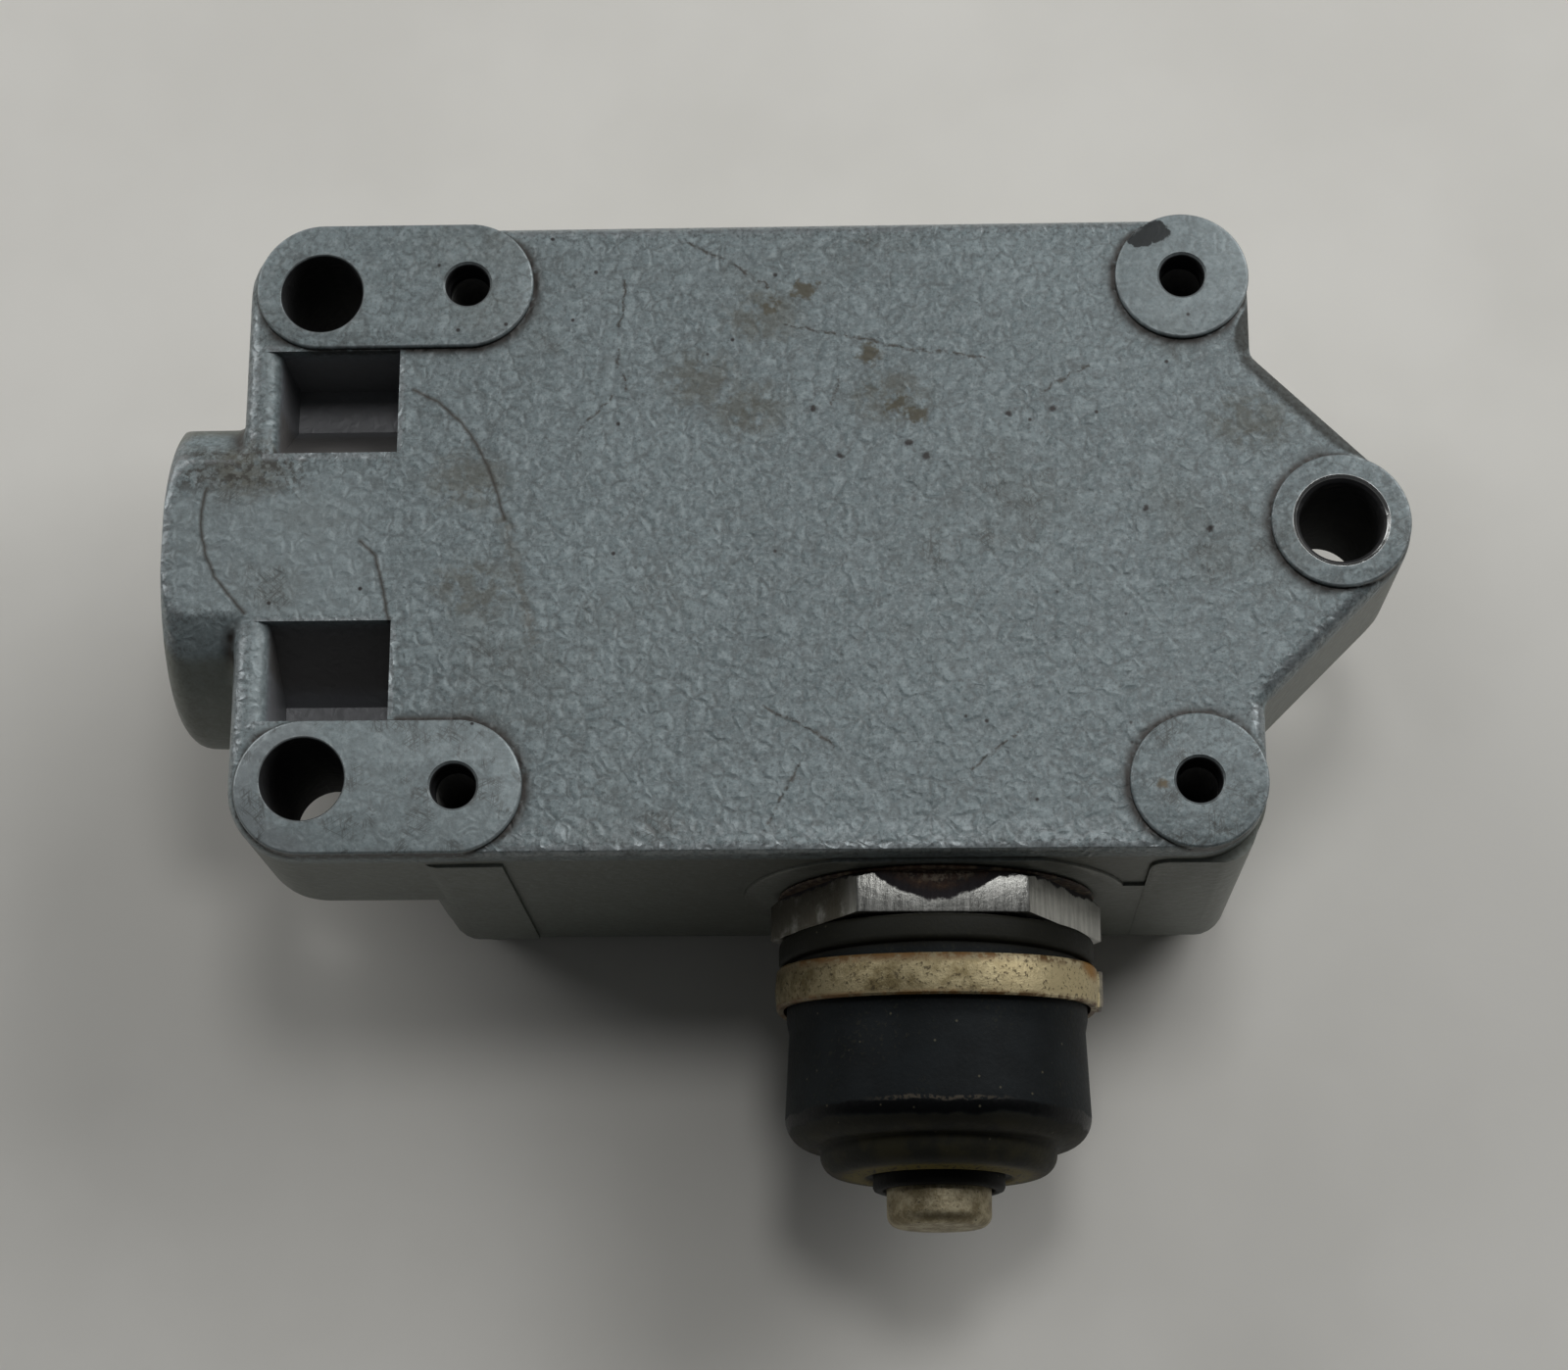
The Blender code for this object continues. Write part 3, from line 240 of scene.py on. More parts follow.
# Shader helpers: each returns an output socket

def addNode(tree, kind, inputs=None, **settings):
    node = tree.nodes.new(kind)
    for key, value in settings.items():
        setattr(node, key, value)
    for key, value in (inputs or {}).items():
        socket = node.inputs[key]
        if isinstance(value, bpy.types.NodeSocket):
            tree.links.new(value, socket)
        else:
            socket.default_value = value
    return node


def calc(tree, operation, a, b=0.0, clamp=False):
    return addNode(tree, "ShaderNodeMath", {0: a, 1: b}, operation=operation, use_clamp=clamp).outputs[0]


def calcVector(tree, operation, a, b=(0, 0, 0)):
    return addNode(tree, "ShaderNodeVectorMath", {0: a, 1: b}, operation=operation).outputs[0]


def fade(tree, value, low, high):    # 0 at low and 1 at high, smooth between them
    rising = low < high
    ends = {"From Min": low if rising else high, "From Max": high if rising else low}
    ends.update({"To Min": 0.0 if rising else 1.0, "To Max": 1.0 if rising else 0.0})
    node = addNode(tree, "ShaderNodeMapRange", {"Value": value, **ends}, interpolation_type="SMOOTHSTEP")
    return node.outputs["Result"]


def noise(tree, vector, scale, detail=3.0, roughness=0.55, distortion=0.0):
    values = {"Vector": vector, "Scale": scale, "Detail": detail, "Roughness": roughness,
              "Distortion": distortion}
    return addNode(tree, "ShaderNodeTexNoise", values).outputs["Fac"]


def tint(tree, amount, below, above, blend="MIX"):
    node = addNode(tree, "ShaderNodeMix", data_type="RGBA", blend_type=blend)
    for socket, value in ((node.inputs[0], amount), (node.inputs[6], below), (node.inputs[7], above)):
        if isinstance(value, bpy.types.NodeSocket):
            tree.links.new(value, socket)
        elif isinstance(value, tuple):
            socket.default_value = (*value, 1)
        else:
            socket.default_value = value
    return node.outputs[2]


def newGroup(name, inputs, outputs):
    group = bpy.data.node_groups.new(name, "ShaderNodeTree")
    kinds = {"vector": "NodeSocketVector", "value": "NodeSocketFloat", "colour": "NodeSocketColor"}
    for key, kind in inputs.items():
        group.interface.new_socket(key, in_out="INPUT", socket_type=kinds[kind])
    for key, kind in outputs.items():
        group.interface.new_socket(key, in_out="OUTPUT", socket_type=kinds[kind])
    start = group.nodes.new("NodeGroupInput").outputs
    end = group.nodes.new("NodeGroupOutput").inputs
    return group, start, end


def useGroup(tree, group, **inputs):
    node = addNode(tree, "ShaderNodeGroup", node_tree=group)
    for key, value in inputs.items():
        if isinstance(value, bpy.types.NodeSocket):
            tree.links.new(value, node.inputs[key])
        else:
            node.inputs[key].default_value = value
    return node.outputs


def newMaterial(name):
    # Returns the material, its tree, its shader and a vector of object coordinates in millimetres.
    material = bpy.data.materials.new(name)
    material.use_nodes = True
    tree = material.node_tree
    shader = tree.nodes["Principled BSDF"]
    place = addNode(tree, "ShaderNodeTexCoord").outputs["Object"]
    scaled = addNode(tree, "ShaderNodeVectorMath", {0: place, "Scale": 1 / mm}, operation="SCALE")
    return material, tree, shader, scaled.outputs[0]


def giveSurface(tree, shader, colour, roughness, height, metallic=None, depth=mm):
    # Height is in millimetres.
    bump = addNode(tree, "ShaderNodeBump", {"Height": height, "Distance": depth, "Strength": 1.0})
    tree.links.new(bump.outputs[0], shader.inputs["Normal"])
    tree.links.new(colour, shader.inputs["Base Color"])
    tree.links.new(roughness, shader.inputs["Roughness"])
    if metallic is not None:
        tree.links.new(metallic, shader.inputs["Metallic"])


def splitAxes(tree, vector):
    return addNode(tree, "ShaderNodeSeparateXYZ", {0: vector}).outputs


# Shared effects, as node groups that work on millimetre coordinates

def makeHammerFinish():    # shallow cells of a hammered paint, with broken outlines and pinholes
    group, given, made = newGroup(
        "hammerFinish", {"Vector": "vector", "Cells": "value"},
        {"Height": "value", "Outline": "value", "Pits": "value", "Tone": "value"})
    warp = addNode(group, "ShaderNodeTexNoise", {"Vector": given["Vector"], "Scale": 0.6, "Detail": 1.0})
    offset = calcVector(group, "SUBTRACT", warp.outputs["Color"], (0.5, 0.5, 0.5))
    offset = calcVector(group, "MULTIPLY", offset, (1.9, 1.9, 1.9))
    place = calcVector(group, "ADD", given["Vector"], offset)
    cells = addNode(group, "ShaderNodeTexVoronoi", {"Vector": place, "Scale": given["Cells"]}).outputs
    border = addNode(group, "ShaderNodeTexVoronoi", {"Vector": place, "Scale": given["Cells"]},
                     feature="DISTANCE_TO_EDGE").outputs["Distance"]
    broken = fade(group, noise(group, given["Vector"], 0.5, 2.0), 0.48, 0.62)
    outline = calc(group, "MULTIPLY", fade(group, border, 0.14, 0.0), broken)
    pinCells = addNode(group, "ShaderNodeTexVoronoi", {"Vector": given["Vector"], "Scale": 0.5})
    chosen = fade(group, splitAxes(group, pinCells.outputs["Color"])[0], 0.84, 0.86)
    pits = calc(group, "MULTIPLY", fade(group, pinCells.outputs["Distance"], 0.13, 0.05), chosen)
    height = fade(group, border, 0.0, 0.46)
    tone = splitAxes(group, cells["Color"])[0]
    for key, value in (("Height", height), ("Outline", outline), ("Pits", pits), ("Tone", tone)):
        group.links.new(value, made[key])
    return group


def makePatches():    # blotches of dirt; Cover goes from 0, none, to 1, all over
    group, given, made = newGroup(
        "patches", {"Vector": "vector", "Scale": "value", "Cover": "value"}, {"Mask": "value"})
    field = addNode(group, "ShaderNodeTexNoise", {
        "Vector": given["Vector"], "Scale": given["Scale"], "Detail": 5.0, "Roughness": 0.62}).outputs["Fac"]
    level = calc(group, "SUBTRACT", calc(group, "ADD", field, given["Cover"]), 0.78)
    group.links.new(fade(group, level, 0.0, 0.22), made["Mask"])
    return group


def makeHairlines():    # fine scratches along X, turned by an angle
    group, given, made = newGroup(
        "hairlines", {"Vector": "vector", "Turn": "value", "Scale": "value", "Width": "value"},
        {"Mask": "value"})
    turned = addNode(group, "ShaderNodeVectorRotate", {"Vector": given["Vector"], "Angle": given["Turn"]},
                     rotation_type="Z_AXIS").outputs[0]
    wander = noise(group, turned, 0.15, 1.0)
    wander = calc(group, "MULTIPLY", wander, 3.0)
    lifted = calcVector(group, "ADD", turned, addNode(group, "ShaderNodeCombineXYZ", {1: wander}).outputs[0])
    drawn = calcVector(group, "MULTIPLY", lifted, (0.12, 1.0, 1.0))
    field = addNode(group, "ShaderNodeTexNoise", {
        "Vector": drawn, "Scale": given["Scale"], "Detail": 1.0}).outputs["Fac"]
    off = calc(group, "ABSOLUTE", calc(group, "SUBTRACT", field, 0.5))
    line = calc(group, "SUBTRACT", 1.0, calc(group, "DIVIDE", off, given["Width"]), clamp=True)
    here = fade(group, noise(group, given["Vector"], 0.35, 2.0), 0.5, 0.62)
    group.links.new(calc(group, "MULTIPLY", line, here), made["Mask"])
    return group


def makeSpot():    # one round stain
    group, given, made = newGroup(
        "spot", {"Vector": "vector", "Centre": "vector", "Size": "vector"}, {"Mask": "value"})
    away = calcVector(group, "SUBTRACT", given["Vector"], given["Centre"])
    away = calcVector(group, "DIVIDE", away, given["Size"])
    length = addNode(group, "ShaderNodeVectorMath", {0: away}, operation="LENGTH").outputs["Value"]
    group.links.new(fade(group, length, 1.0, 0.3), made["Mask"])
    return group


def makeScratch():    # a mark along a straight line between two places
    group, given, made = newGroup(
        "scratch", {"Vector": "vector", "Start": "vector", "End": "vector", "Width": "value"}, {"Mask": "value"})
    away = calcVector(group, "SUBTRACT", given["Vector"], given["Start"])
    reach = calcVector(group, "SUBTRACT", given["End"], given["Start"])
    along = addNode(group, "ShaderNodeVectorMath", {0: away, 1: reach}, operation="DOT_PRODUCT").outputs["Value"]
    whole = addNode(group, "ShaderNodeVectorMath", {0: reach, 1: reach}, operation="DOT_PRODUCT").outputs["Value"]
    share = calc(group, "DIVIDE", along, whole, clamp=True)
    foot = addNode(group, "ShaderNodeVectorMath", {0: reach, "Scale": share}, operation="SCALE").outputs[0]
    gap = addNode(group, "ShaderNodeVectorMath", {0: away, 1: foot}, operation="DISTANCE").outputs["Value"]
    line = calc(group, "SUBTRACT", 1.0, calc(group, "DIVIDE", gap, given["Width"]), clamp=True)
    group.links.new(line, made["Mask"])
    return group


def drawLine(tree, vector, points, width):    # scratches joined end to end
    line = None
    for start, end in zip(points, points[1:]):
        part = useGroup(tree, scratch, Vector=vector, Start=(*start, 0), End=(*end, 0), Width=width)["Mask"]
        line = part if line is None else calc(tree, "MAXIMUM", line, part)
    return line


def drawSpots(tree, vector, centres, size):
    spots = None
    for centre in centres:
        part = useGroup(tree, spot, Vector=vector, Centre=(*centre, 0), Size=(*size, 1))["Mask"]
        spots = part if spots is None else calc(tree, "MAXIMUM", spots, part)
    return spots


def makeRustFilm():    # brown to black corrosion colours and their rough height
    group, given, made = newGroup(
        "rustFilm", {"Vector": "vector", "Scale": "value"}, {"Colour": "colour", "Height": "value"})
    field = addNode(group, "ShaderNodeTexNoise", {
        "Vector": given["Vector"], "Scale": given["Scale"], "Detail": 6.0, "Roughness": 0.7}).outputs["Fac"]
    colour = tint(group, fade(group, field, 0.35, 0.55), (0.010, 0.008, 0.008), (0.055, 0.026, 0.014))
    colour = tint(group, fade(group, field, 0.55, 0.72), colour, (0.17, 0.095, 0.045))
    group.links.new(colour, made["Colour"])
    group.links.new(field, made["Height"])
    return group


hammerFinish = makeHammerFinish()
patches = makePatches()
hairlines = makeHairlines()
spot = makeSpot()
scratch = makeScratch()
rustFilm = makeRustFilm()
print("shared effects made")


# Casting: one die-cast body with ears, nose, conduit hub, columns and pads

casting = {
    "halfLength": 37.375, "halfWidth": 28.8, "faceDrop": 0.55, "cornerRound": 5.85,
    "edgeRound": 1.3, "nearEdgeRound": 2.2, "rimRound": 0.4,
    "earEnd": 51.1, "earHalfWidth": 28.85, "earRound": 6.15, "earDepth": 18.7, "lowerRound": 0.6,
    "noseHole": 44.45, "noseRound": 6.2, "nosePad": 6.0,
    "hubRadius": 15.0, "hubShift": (-0.3, -0.5), "hubTrim": 9.6, "hubTrimLean": 20.2, "hubDrop": 13.3, "hubEnd": 57.8, "hubRimRound": 2.2,
    "pocketLeft": 48.0, "pocketDepth": 10.5, "pocketHubTop": {-1: 8.0, 1: 7.4}, "pocketHubFloor": 13.0,
    "pocketPadSide": 16.95, "pocketFlare": 1.4,
    "columnX": 31.525, "columnY": 22.9, "columnRadius": 5.85, "columnSwell": 0.3, "ledgeDrop": 5.0,
    "bossRadius": 17.0, "bossProud": {-1: 0.32, 1: 0.22}, "shelf": (27.6, 36.6), "shelfTop": 34.9, "shelfRound": 2.0, "apronTop": 25.9, "bossMargin": 0.8,
    "earHoleX": 44.45, "earHoleY": 22.2, "mountHole": 3.6, "tappedHole": 1.95, "threadDepth": 0.28,
    "threadPitch": 0.8, "conduitBore": 9.6, "conduitThread": 0.6, "conduitPitch": 1.81, "bushingHole": 11.3,
    "cavityX": 34.075, "cavityY": 25.0, "cavityStepX": 25.675, "cavityStepY": 17.05, "backWall": 3.0,
    "screwHole": 2.35, "screwHoleTop": 17.0, "standoffRadius": 4.0, "standoffDrop": 8.5, "standoffY": 4.5,
    "standoffX": (-11.2, 14.2), "grain": 0.45, "softening": 2, "padEdge": 0.22, "holeChamfer": 0.15, "noseChamfer": 0.55,
}
faceZ = padZ - casting["faceDrop"]
earZ = padZ - casting["earDepth"]
hubZ = padZ - casting["hubDrop"]
ledgeZ = padZ - casting["ledgeDrop"]
roofZ = faceZ - casting["backWall"]
overcut = 3.0


def softBlocks():
    c = casting
    body = addBlock("casting", (-c["halfLength"], -c["halfWidth"], rimZ), (c["halfLength"], c["halfWidth"], faceZ))
    bevelWhere(body, c["cornerRound"], 10, standing)
    nearLine = -c["halfWidth"]
    bevelWhere(body, c["nearEdgeRound"], 5, lambda a, b: atHeight(faceZ)(a, b) and near(a.y, nearLine) and near(b.y, nearLine))
    innerLine = nearLine + c["nearEdgeRound"] + 0.05
    bevelWhere(body, c["edgeRound"], 4, lambda a, b: atHeight(faceZ)(a, b) and (a.y + b.y) / 2 > innerLine)
    ears = addBlock("ears", (-c["earEnd"], -c["earHalfWidth"], earZ), (-c["columnX"], c["earHalfWidth"], faceZ))
    bevelWhere(ears, c["earRound"], 10, lambda a, b: standing(a, b) and near(a.x, -c["earEnd"]))
    bevelWhere(ears, c["edgeRound"], 4, atHeight(faceZ))
    bevelWhere(ears, c["lowerRound"], 2, atHeight(earZ))
    # The nose is a square block set on its corner, whose outer corner is rounded
    noseCorner = c["noseHole"] + c["noseRound"] * 2 ** 0.5
    halfSide = (noseCorner - c["columnX"]) / 2 ** 0.5
    nose = addBlock("nose", (c["columnX"] - halfSide, -halfSide, earZ), (c["columnX"] + halfSide, halfSide, faceZ), pi / 4)
    bevelWhere(nose, c["noseRound"], 10, lambda a, b: standing(a, b) and near(a.x, noseCorner))
    bevelWhere(nose, c["edgeRound"], 4, atHeight(faceZ))
    bevelWhere(nose, c["lowerRound"], 2, atHeight(earZ))
    hubY, hubLift = c["hubShift"]
    hubStart = (-c["hubEnd"], hubY, hubZ + hubLift)
    hub = addRod("hub", c["hubRadius"], hubStart, (-c["columnX"], hubY, hubZ + hubLift), 128)
    bevelWhere(hub, c["hubRimRound"], 6, lambda a, b: near(a.x, -c["hubEnd"]) and near(b.x, -c["hubEnd"]))
    editAll(hub)
    bpy.ops.mesh.bisect(plane_co=(0, 0, faceZ), plane_no=(0, 0, 1), use_fill=True, clear_outer=True)
    bpy.ops.mesh.select_all(action="SELECT")
    lean = radians(c["hubTrimLean"])
    trimPoint = (0, c["hubTrim"], faceZ)
    bpy.ops.mesh.bisect(plane_co=trimPoint, plane_no=(0, cos(lean), sin(lean)), use_fill=True, clear_outer=True)
    backToObject()
    return combine(body, "UNION", ears, nose, hub)


def pocketTool(side):    # the coring pocket between the hub and one ear, its hub side sloping
    c = casting
    floorZ = padZ - c["pocketDepth"]
    flare = c["pocketFlare"]
    hubLine = side * c["pocketHubTop"][side]
    ends = sorted((hubLine, side * c["pocketPadSide"]))
    left = -c["pocketLeft"]
    level = faceZ - flare
    tool = addBlock("pocket", (left, ends[0], floorZ), (-c["halfLength"], ends[1], level))
    selectWhere(tool, lambda a, b: atHeight(floorZ)(a, b) and near(a.y, hubLine) and near(b.y, hubLine))
    bpy.ops.transform.translate(value=(0, side * c["pocketHubFloor"] - hubLine, 0))
    backToObject()
    # Its left wall flares in an arc, which rounds the rib beside it
    for outward, climb in arcPoints(flare, 0, -flare, 0, -90)[1:] + [(flare, flare + overcut)]:
        top = faceZ - flare + climb
        selectWhere(tool, atHeight(level))
        bpy.ops.mesh.extrude_region_move(TRANSFORM_OT_translate={"value": (0, 0, top - level)})
        backToObject()
        selectWhere(tool, lambda a, b: atHeight(top)(a, b) and near(a.x, left) and near(b.x, left))
        bpy.ops.transform.translate(value=(-c["pocketLeft"] - outward - left, 0, 0))
        backToObject()
        left = -c["pocketLeft"] - outward
        level = top
    editAll(tool)
    bpy.ops.mesh.normals_make_consistent(inside=False)
    backToObject()
    return tool


def padTool(name, outlineX, y, radius, low, high, edge):    # a disc, drawn out between two places along X
    pad = addRod(name, radius, (outlineX[0], y, low), (outlineX[0], y, high), 72)
    if outlineX[1] != outlineX[0]:
        editAll(pad)
        bpy.ops.mesh.select_all(action="DESELECT")
        backToObject()
        for vertex in pad.data.vertices:
            vertex.select = vertex.co.x > outlineX[0] + 0.01
        bpy.context.tool_settings.mesh_select_mode = (True, False, False)
        bpy.ops.object.mode_set(mode="EDIT")
        bpy.ops.transform.translate(value=(outlineX[1] - outlineX[0], 0, 0))
        backToObject()
    bevelWhere(pad, edge, 3, atHeight(high))
    return pad


def columnShelves(end):    # square shelves over the columns on one side wall, and the apron that joins one to the boss
    c = casting
    near0, far0 = c["shelf"]
    inside = end * (c["halfWidth"] - 4)
    outside = end * (c["halfWidth"] + c["bossProud"][end] + 0.02)
    shelves = []
    for left, right in ((near0, far0), (0.5 - far0, -near0)):
        low = (left, min(inside, outside), rimZ + c["bossMargin"])
        high = (right, max(inside, outside), c["shelfTop"])
        shelf = addBlock("shelf", low, high)
        outer = right if right > 0 else left
        bevelWhere(shelf, 3.1, 6, lambda a, b: standing(a, b) and near(a.x, outer) and near(a.y, outside))
        bevelWhere(shelf, c["shelfRound"], 5, lambda a, b: atHeight(c["shelfTop"])(a, b) and near(a.x, left) and near(b.x, left))
        bevelWhere(shelf, 0.25, 2, lambda a, b: near(a.y, outside) and near(b.y, outside) and not standing(a, b))
        shelves.append(shelf)
    low = (plungerX, min(inside, outside - end * 0.04), rimZ + c["bossMargin"])
    shelves.append(addBlock("apron", low, (near0 + 3, max(inside, outside - end * 0.04), c["apronTop"])))
    return shelves


def crispFeatures():    # columns, bosses and pads, which keep a crisp edge on the soft casting
    c = casting
    tools = []
    for end in (-1, 1):
        y = end * c["columnY"]
        swollen = c["columnRadius"] + c["columnSwell"]
        for side in (-1, 1):
            x = side * c["columnX"]
            tools.append(padTool("column", (x, x), y, swollen, rimZ + c["columnSwell"], ledgeZ, 0.3))
        tools.append(padTool("pad", (c["columnX"],) * 2, y, c["columnRadius"], ledgeZ - 1.5, padZ, c["padEdge"]))
        tools.append(padTool("pad", (-c["earHoleX"], -c["columnX"]), y, c["columnRadius"], faceZ - 1.5, padZ, c["padEdge"]))
        wall = end * c["halfWidth"]
        boss = addRod("boss", c["bossRadius"], (plungerX, wall - end * 1.5, plungerZ),
                      (plungerX, wall + end * c["bossProud"][end], plungerZ), 96)
        outer = wall + end * c["bossProud"][end]
        editAll(boss)
        top = faceZ - c["nearEdgeRound"] - 0.2
        bpy.ops.mesh.bisect(plane_co=(0, 0, top), plane_no=(0, 0, 1), use_fill=True, clear_outer=True)
        bpy.ops.mesh.select_all(action="SELECT")
        low = rimZ + c["bossMargin"]
        bpy.ops.mesh.bisect(plane_co=(0, 0, low), plane_no=(0, 0, -1), use_fill=True, clear_outer=True)
        backToObject()
        bevelWhere(boss, 0.2, 2, lambda a, b: near(a.y, outer) and near(b.y, outer))
        tools.append(boss)
        tools += columnShelves(end)
    tools.append(padTool("pad", (c["noseHole"],) * 2, 0, c["nosePad"], faceZ - 1.5, padZ, c["padEdge"]))
    return tools


def threadProfile(radius, depth, pitch, low, high):
    profile = []
    turns = int((high - low) / pitch)
    for turn in range(turns):
        start = low + turn * pitch
        profile += [(radius, start), (radius + depth, start + pitch * 0.5)]
    return profile


def machinedCuts():
    c = casting
    cuts = []
    deep = earZ - overcut
    top = padZ + overcut
    for x, y in ((-c["earHoleX"], -c["earHoleY"]), (-c["earHoleX"], c["earHoleY"]), (c["noseHole"], 0)):
        r = c["mountHole"]
        chamfer = c["noseChamfer"] if x > 0 else c["holeChamfer"]
        profile = [(r, deep), (r, padZ - chamfer), (r + chamfer + 0.1, padZ + 0.1), (r + chamfer + 0.1, top)]
        cuts.append(moveTo(turnProfile("hole", profile, 72), (x, y, 0)))
    for end in (-1, 1):
        for side in (-1, 1):
            r = c["tappedHole"]
            profile = threadProfile(r - c["threadDepth"] / 2, c["threadDepth"], c["threadPitch"], rimZ + 12, padZ - 0.6)
            profile += [(r, padZ - 0.25), (r + 0.3, padZ + 0.05), (r + 0.3, top)]
            cuts.append(moveTo(turnProfile("tap", profile, 48), (side * c["columnX"], end * c["columnY"], 0)))
            profile = [(c["screwHole"], rimZ - overcut), (c["screwHole"], c["screwHoleTop"])]
            cuts.append(moveTo(turnProfile("screwHole", profile, 32), (side * c["columnX"], end * c["columnY"], 0)))
    cavity = addBlock("cavity", (-c["cavityX"], -c["cavityStepY"], rimZ - overcut), (c["cavityX"], c["cavityStepY"], roofZ))
    across = addBlock("across", (-c["cavityStepX"], -c["cavityY"], rimZ - overcut), (c["cavityStepX"], c["cavityY"], roofZ))
    for block in (cavity, across):
        bevelWhere(block, 1.2, 3, standing)
        bevelWhere(block, 1.0, 3, atHeight(roofZ))
    cuts += [cavity, across]
    cuts.append(addRod("bushingHole", c["bushingHole"], (plungerX, -c["cavityY"] + 2, plungerZ),
                       (plungerX, -c["halfWidth"] - overcut, plungerZ), 72))
    r = c["conduitBore"]
    length = c["hubEnd"] - c["cavityX"]
    profile = [(r, -2.0), (r, length - 14)]
    profile += threadProfile(r, c["conduitThread"], c["conduitPitch"], length - 13, length - 0.6)
    profile += [(r + 0.5, length - 0.5), (r + 1.3, length + 0.3), (r + 1.3, length + overcut)]
    cuts.append(moveTo(turnProfile("conduit", profile, 96), (-c["cavityX"], 0, hubZ), (0, -pi / 2, 0)))
    return cuts


def markEdgesAndCreases(piece):
    # Stores how sharply the surface bends at each point: edge where it bends outwards, crevice inwards. Edge drives
    # wear and edge dirt; crevice drives dirt and painted shade in the creases.
    mesh = piece.data
    points = np.zeros(len(mesh.vertices) * 3)
    normals = np.zeros(len(mesh.vertices) * 3)
    pairs = np.zeros(len(mesh.edges) * 2, dtype=np.int64)
    mesh.vertices.foreach_get("co", points)
    mesh.vertices.foreach_get("normal", normals)
    mesh.edges.foreach_get("vertices", pairs)
    points, normals, pairs = points.reshape(-1, 3), normals.reshape(-1, 3), pairs.reshape(-1, 2)
    along = points[pairs[:, 1]] - points[pairs[:, 0]]
    length = np.linalg.norm(along, axis=1) + 1e-6
    bend = ((normals[pairs[:, 1]] - normals[pairs[:, 0]]) * along).sum(1) / length ** 2
    count = np.bincount(pairs.ravel(), minlength=len(points))
    def overNeighbours(values):    # averages a value of the edges at each point
        both = np.repeat(values, 2)
        return np.bincount(pairs.ravel(), weights=both, minlength=len(points)) / np.maximum(count, 1)
    curve = overNeighbours(np.clip(bend, -2, 2))
    coarse = overNeighbours(length) > casting["grain"] * 2.2    # large faces carry no detail
    curve[coarse] = 0
    for step in range(2):
        curve = overNeighbours((curve[pairs[:, 0]] + curve[pairs[:, 1]]) / 2)
        curve[coarse] = 0
    for name, values in (("edge", np.clip(curve * 3.0, 0, 1)), ("crevice", np.clip(curve * -3.0, 0, 1))):
        attribute = mesh.attributes.new(name, "FLOAT", "POINT")
        attribute.data.foreach_set("value", values.astype(np.float32))


def makeCasting(material):
    c = casting
    body = softBlocks()
    applyModifier(body, "REMESH", mode="VOXEL", voxel_size=c["grain"], adaptivity=0.0)
    applyModifier(body, "SMOOTH", factor=0.5, iterations=c["softening"])
    combine(body, "DIFFERENCE", pocketTool(-1), pocketTool(1))
    combine(body, "UNION", *crispFeatures())
    combine(body, "DIFFERENCE", *machinedCuts())
    standoffs = [addRod("standoff", c["standoffRadius"], (x, c["standoffY"], roofZ - 4.9), (x, c["standoffY"], roofZ + 1.0), 32)
                 for x in c["standoffX"]]
    combine(body, "UNION", *standoffs)
    holes = [addRod("standoffHole", 1.9, (x, c["standoffY"], roofZ - 8), (x, c["standoffY"], roofZ - 1.5), 32)
             for x in c["standoffX"]]
    combine(body, "DIFFERENCE", *holes)
    markEdgesAndCreases(body)
    finishPiece(body, material, 38)
    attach(body, "housing_body")
    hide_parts("housing")
    print("casting made:", len(body.data.polygons), "faces")
    return body


# Marks on the back of the casting, as places on it
castingMarks = {
    "dieLines": (((-36.1, 13.2), (-33.9, 12.0), (-31.8, 10.1), (-30.3, 7.9), (-29.0, 5.2), (-27.8, 1.1)),
                 ((-40.3, -0.8), (-38.9, -2.2), (-38.3, -4.8), (-37.6, -8.0)),
                 ((-54.0, 4.2), (-54.3, 2.4), (-54.25, 0.4), (-53.8, -1.8), (-52.9, -3.8), (-51.7, -5.4), (-50.2, -7.2))),
    "scratches": (((-12.0, 26.8), (-8.2, 24.8), (-4.7, 22.4)), ((-21.6, 9.1), (-18.6, 12.5)), ((1.4, 14.1), (0.6, 11.0)),
                  ((-3.3, 18.8), (2.6, 17.7), (6.8, 16.6), (14.1, 15.5)), ((-17.6, 23.2), (-18.2, 15.4), (-17.2, 12.9)),
                  ((12.3, -21.7), (16.5, -18.3)), ((-5.2, -16.1), (-1.0, -18.2), (0.7, -19.6)), ((18.8, 12.3), (23.1, 14.8)),
                  ((-5.1, -26.7), (-3.5, -23.7), (-2.2, -21.2))),
    "smear": ((-27.8, 1.1), (-26.3, -5.2), (-25.1, -9.7)),
    "hazes": ((-10.5, 13.8), (-6.4, 11.0), (-5.2, 19.6), (6.0, 12.0), (-30.8, 4.6), (-30.0, -5.0), (37.5, 9.5), (-50.0, 6.0)),
    "stains": ((4.1, 16.0), (6.2, 11.4), (8.0, 10.3), (-1.6, 22.1), (-4.6, 20.6)),
    "flecks": ((8.8, 6.4), (1.4, 6.6), (7.4, 7.7), (16.1, 10.3), (19.9, 10.6), (-1.0, 10.9), (27.8, 1.3), (33.2, -0.5)),
    "chip": ((28.0, 26.6), (29.3, 27.0)), "tan": ((28.4, -23.2),),
}


def gap(tree, a, b):    # distance from two offsets
    pair = addNode(tree, "ShaderNodeCombineXYZ", {0: a, 1: b}).outputs[0]
    return addNode(tree, "ShaderNodeVectorMath", {0: pair}, operation="LENGTH").outputs["Value"]


def smallest(tree, *values):
    least = values[0]
    for value in values[1:]:
        least = calc(tree, "MINIMUM", least, value)
    return least


def allOf(tree, *masks):
    product = masks[0]
    for mask in masks[1:]:
        product = calc(tree, "MULTIPLY", product, mask)
    return product


def scaled(tree, mask, share):
    return calc(tree, "MULTIPLY", mask, share)


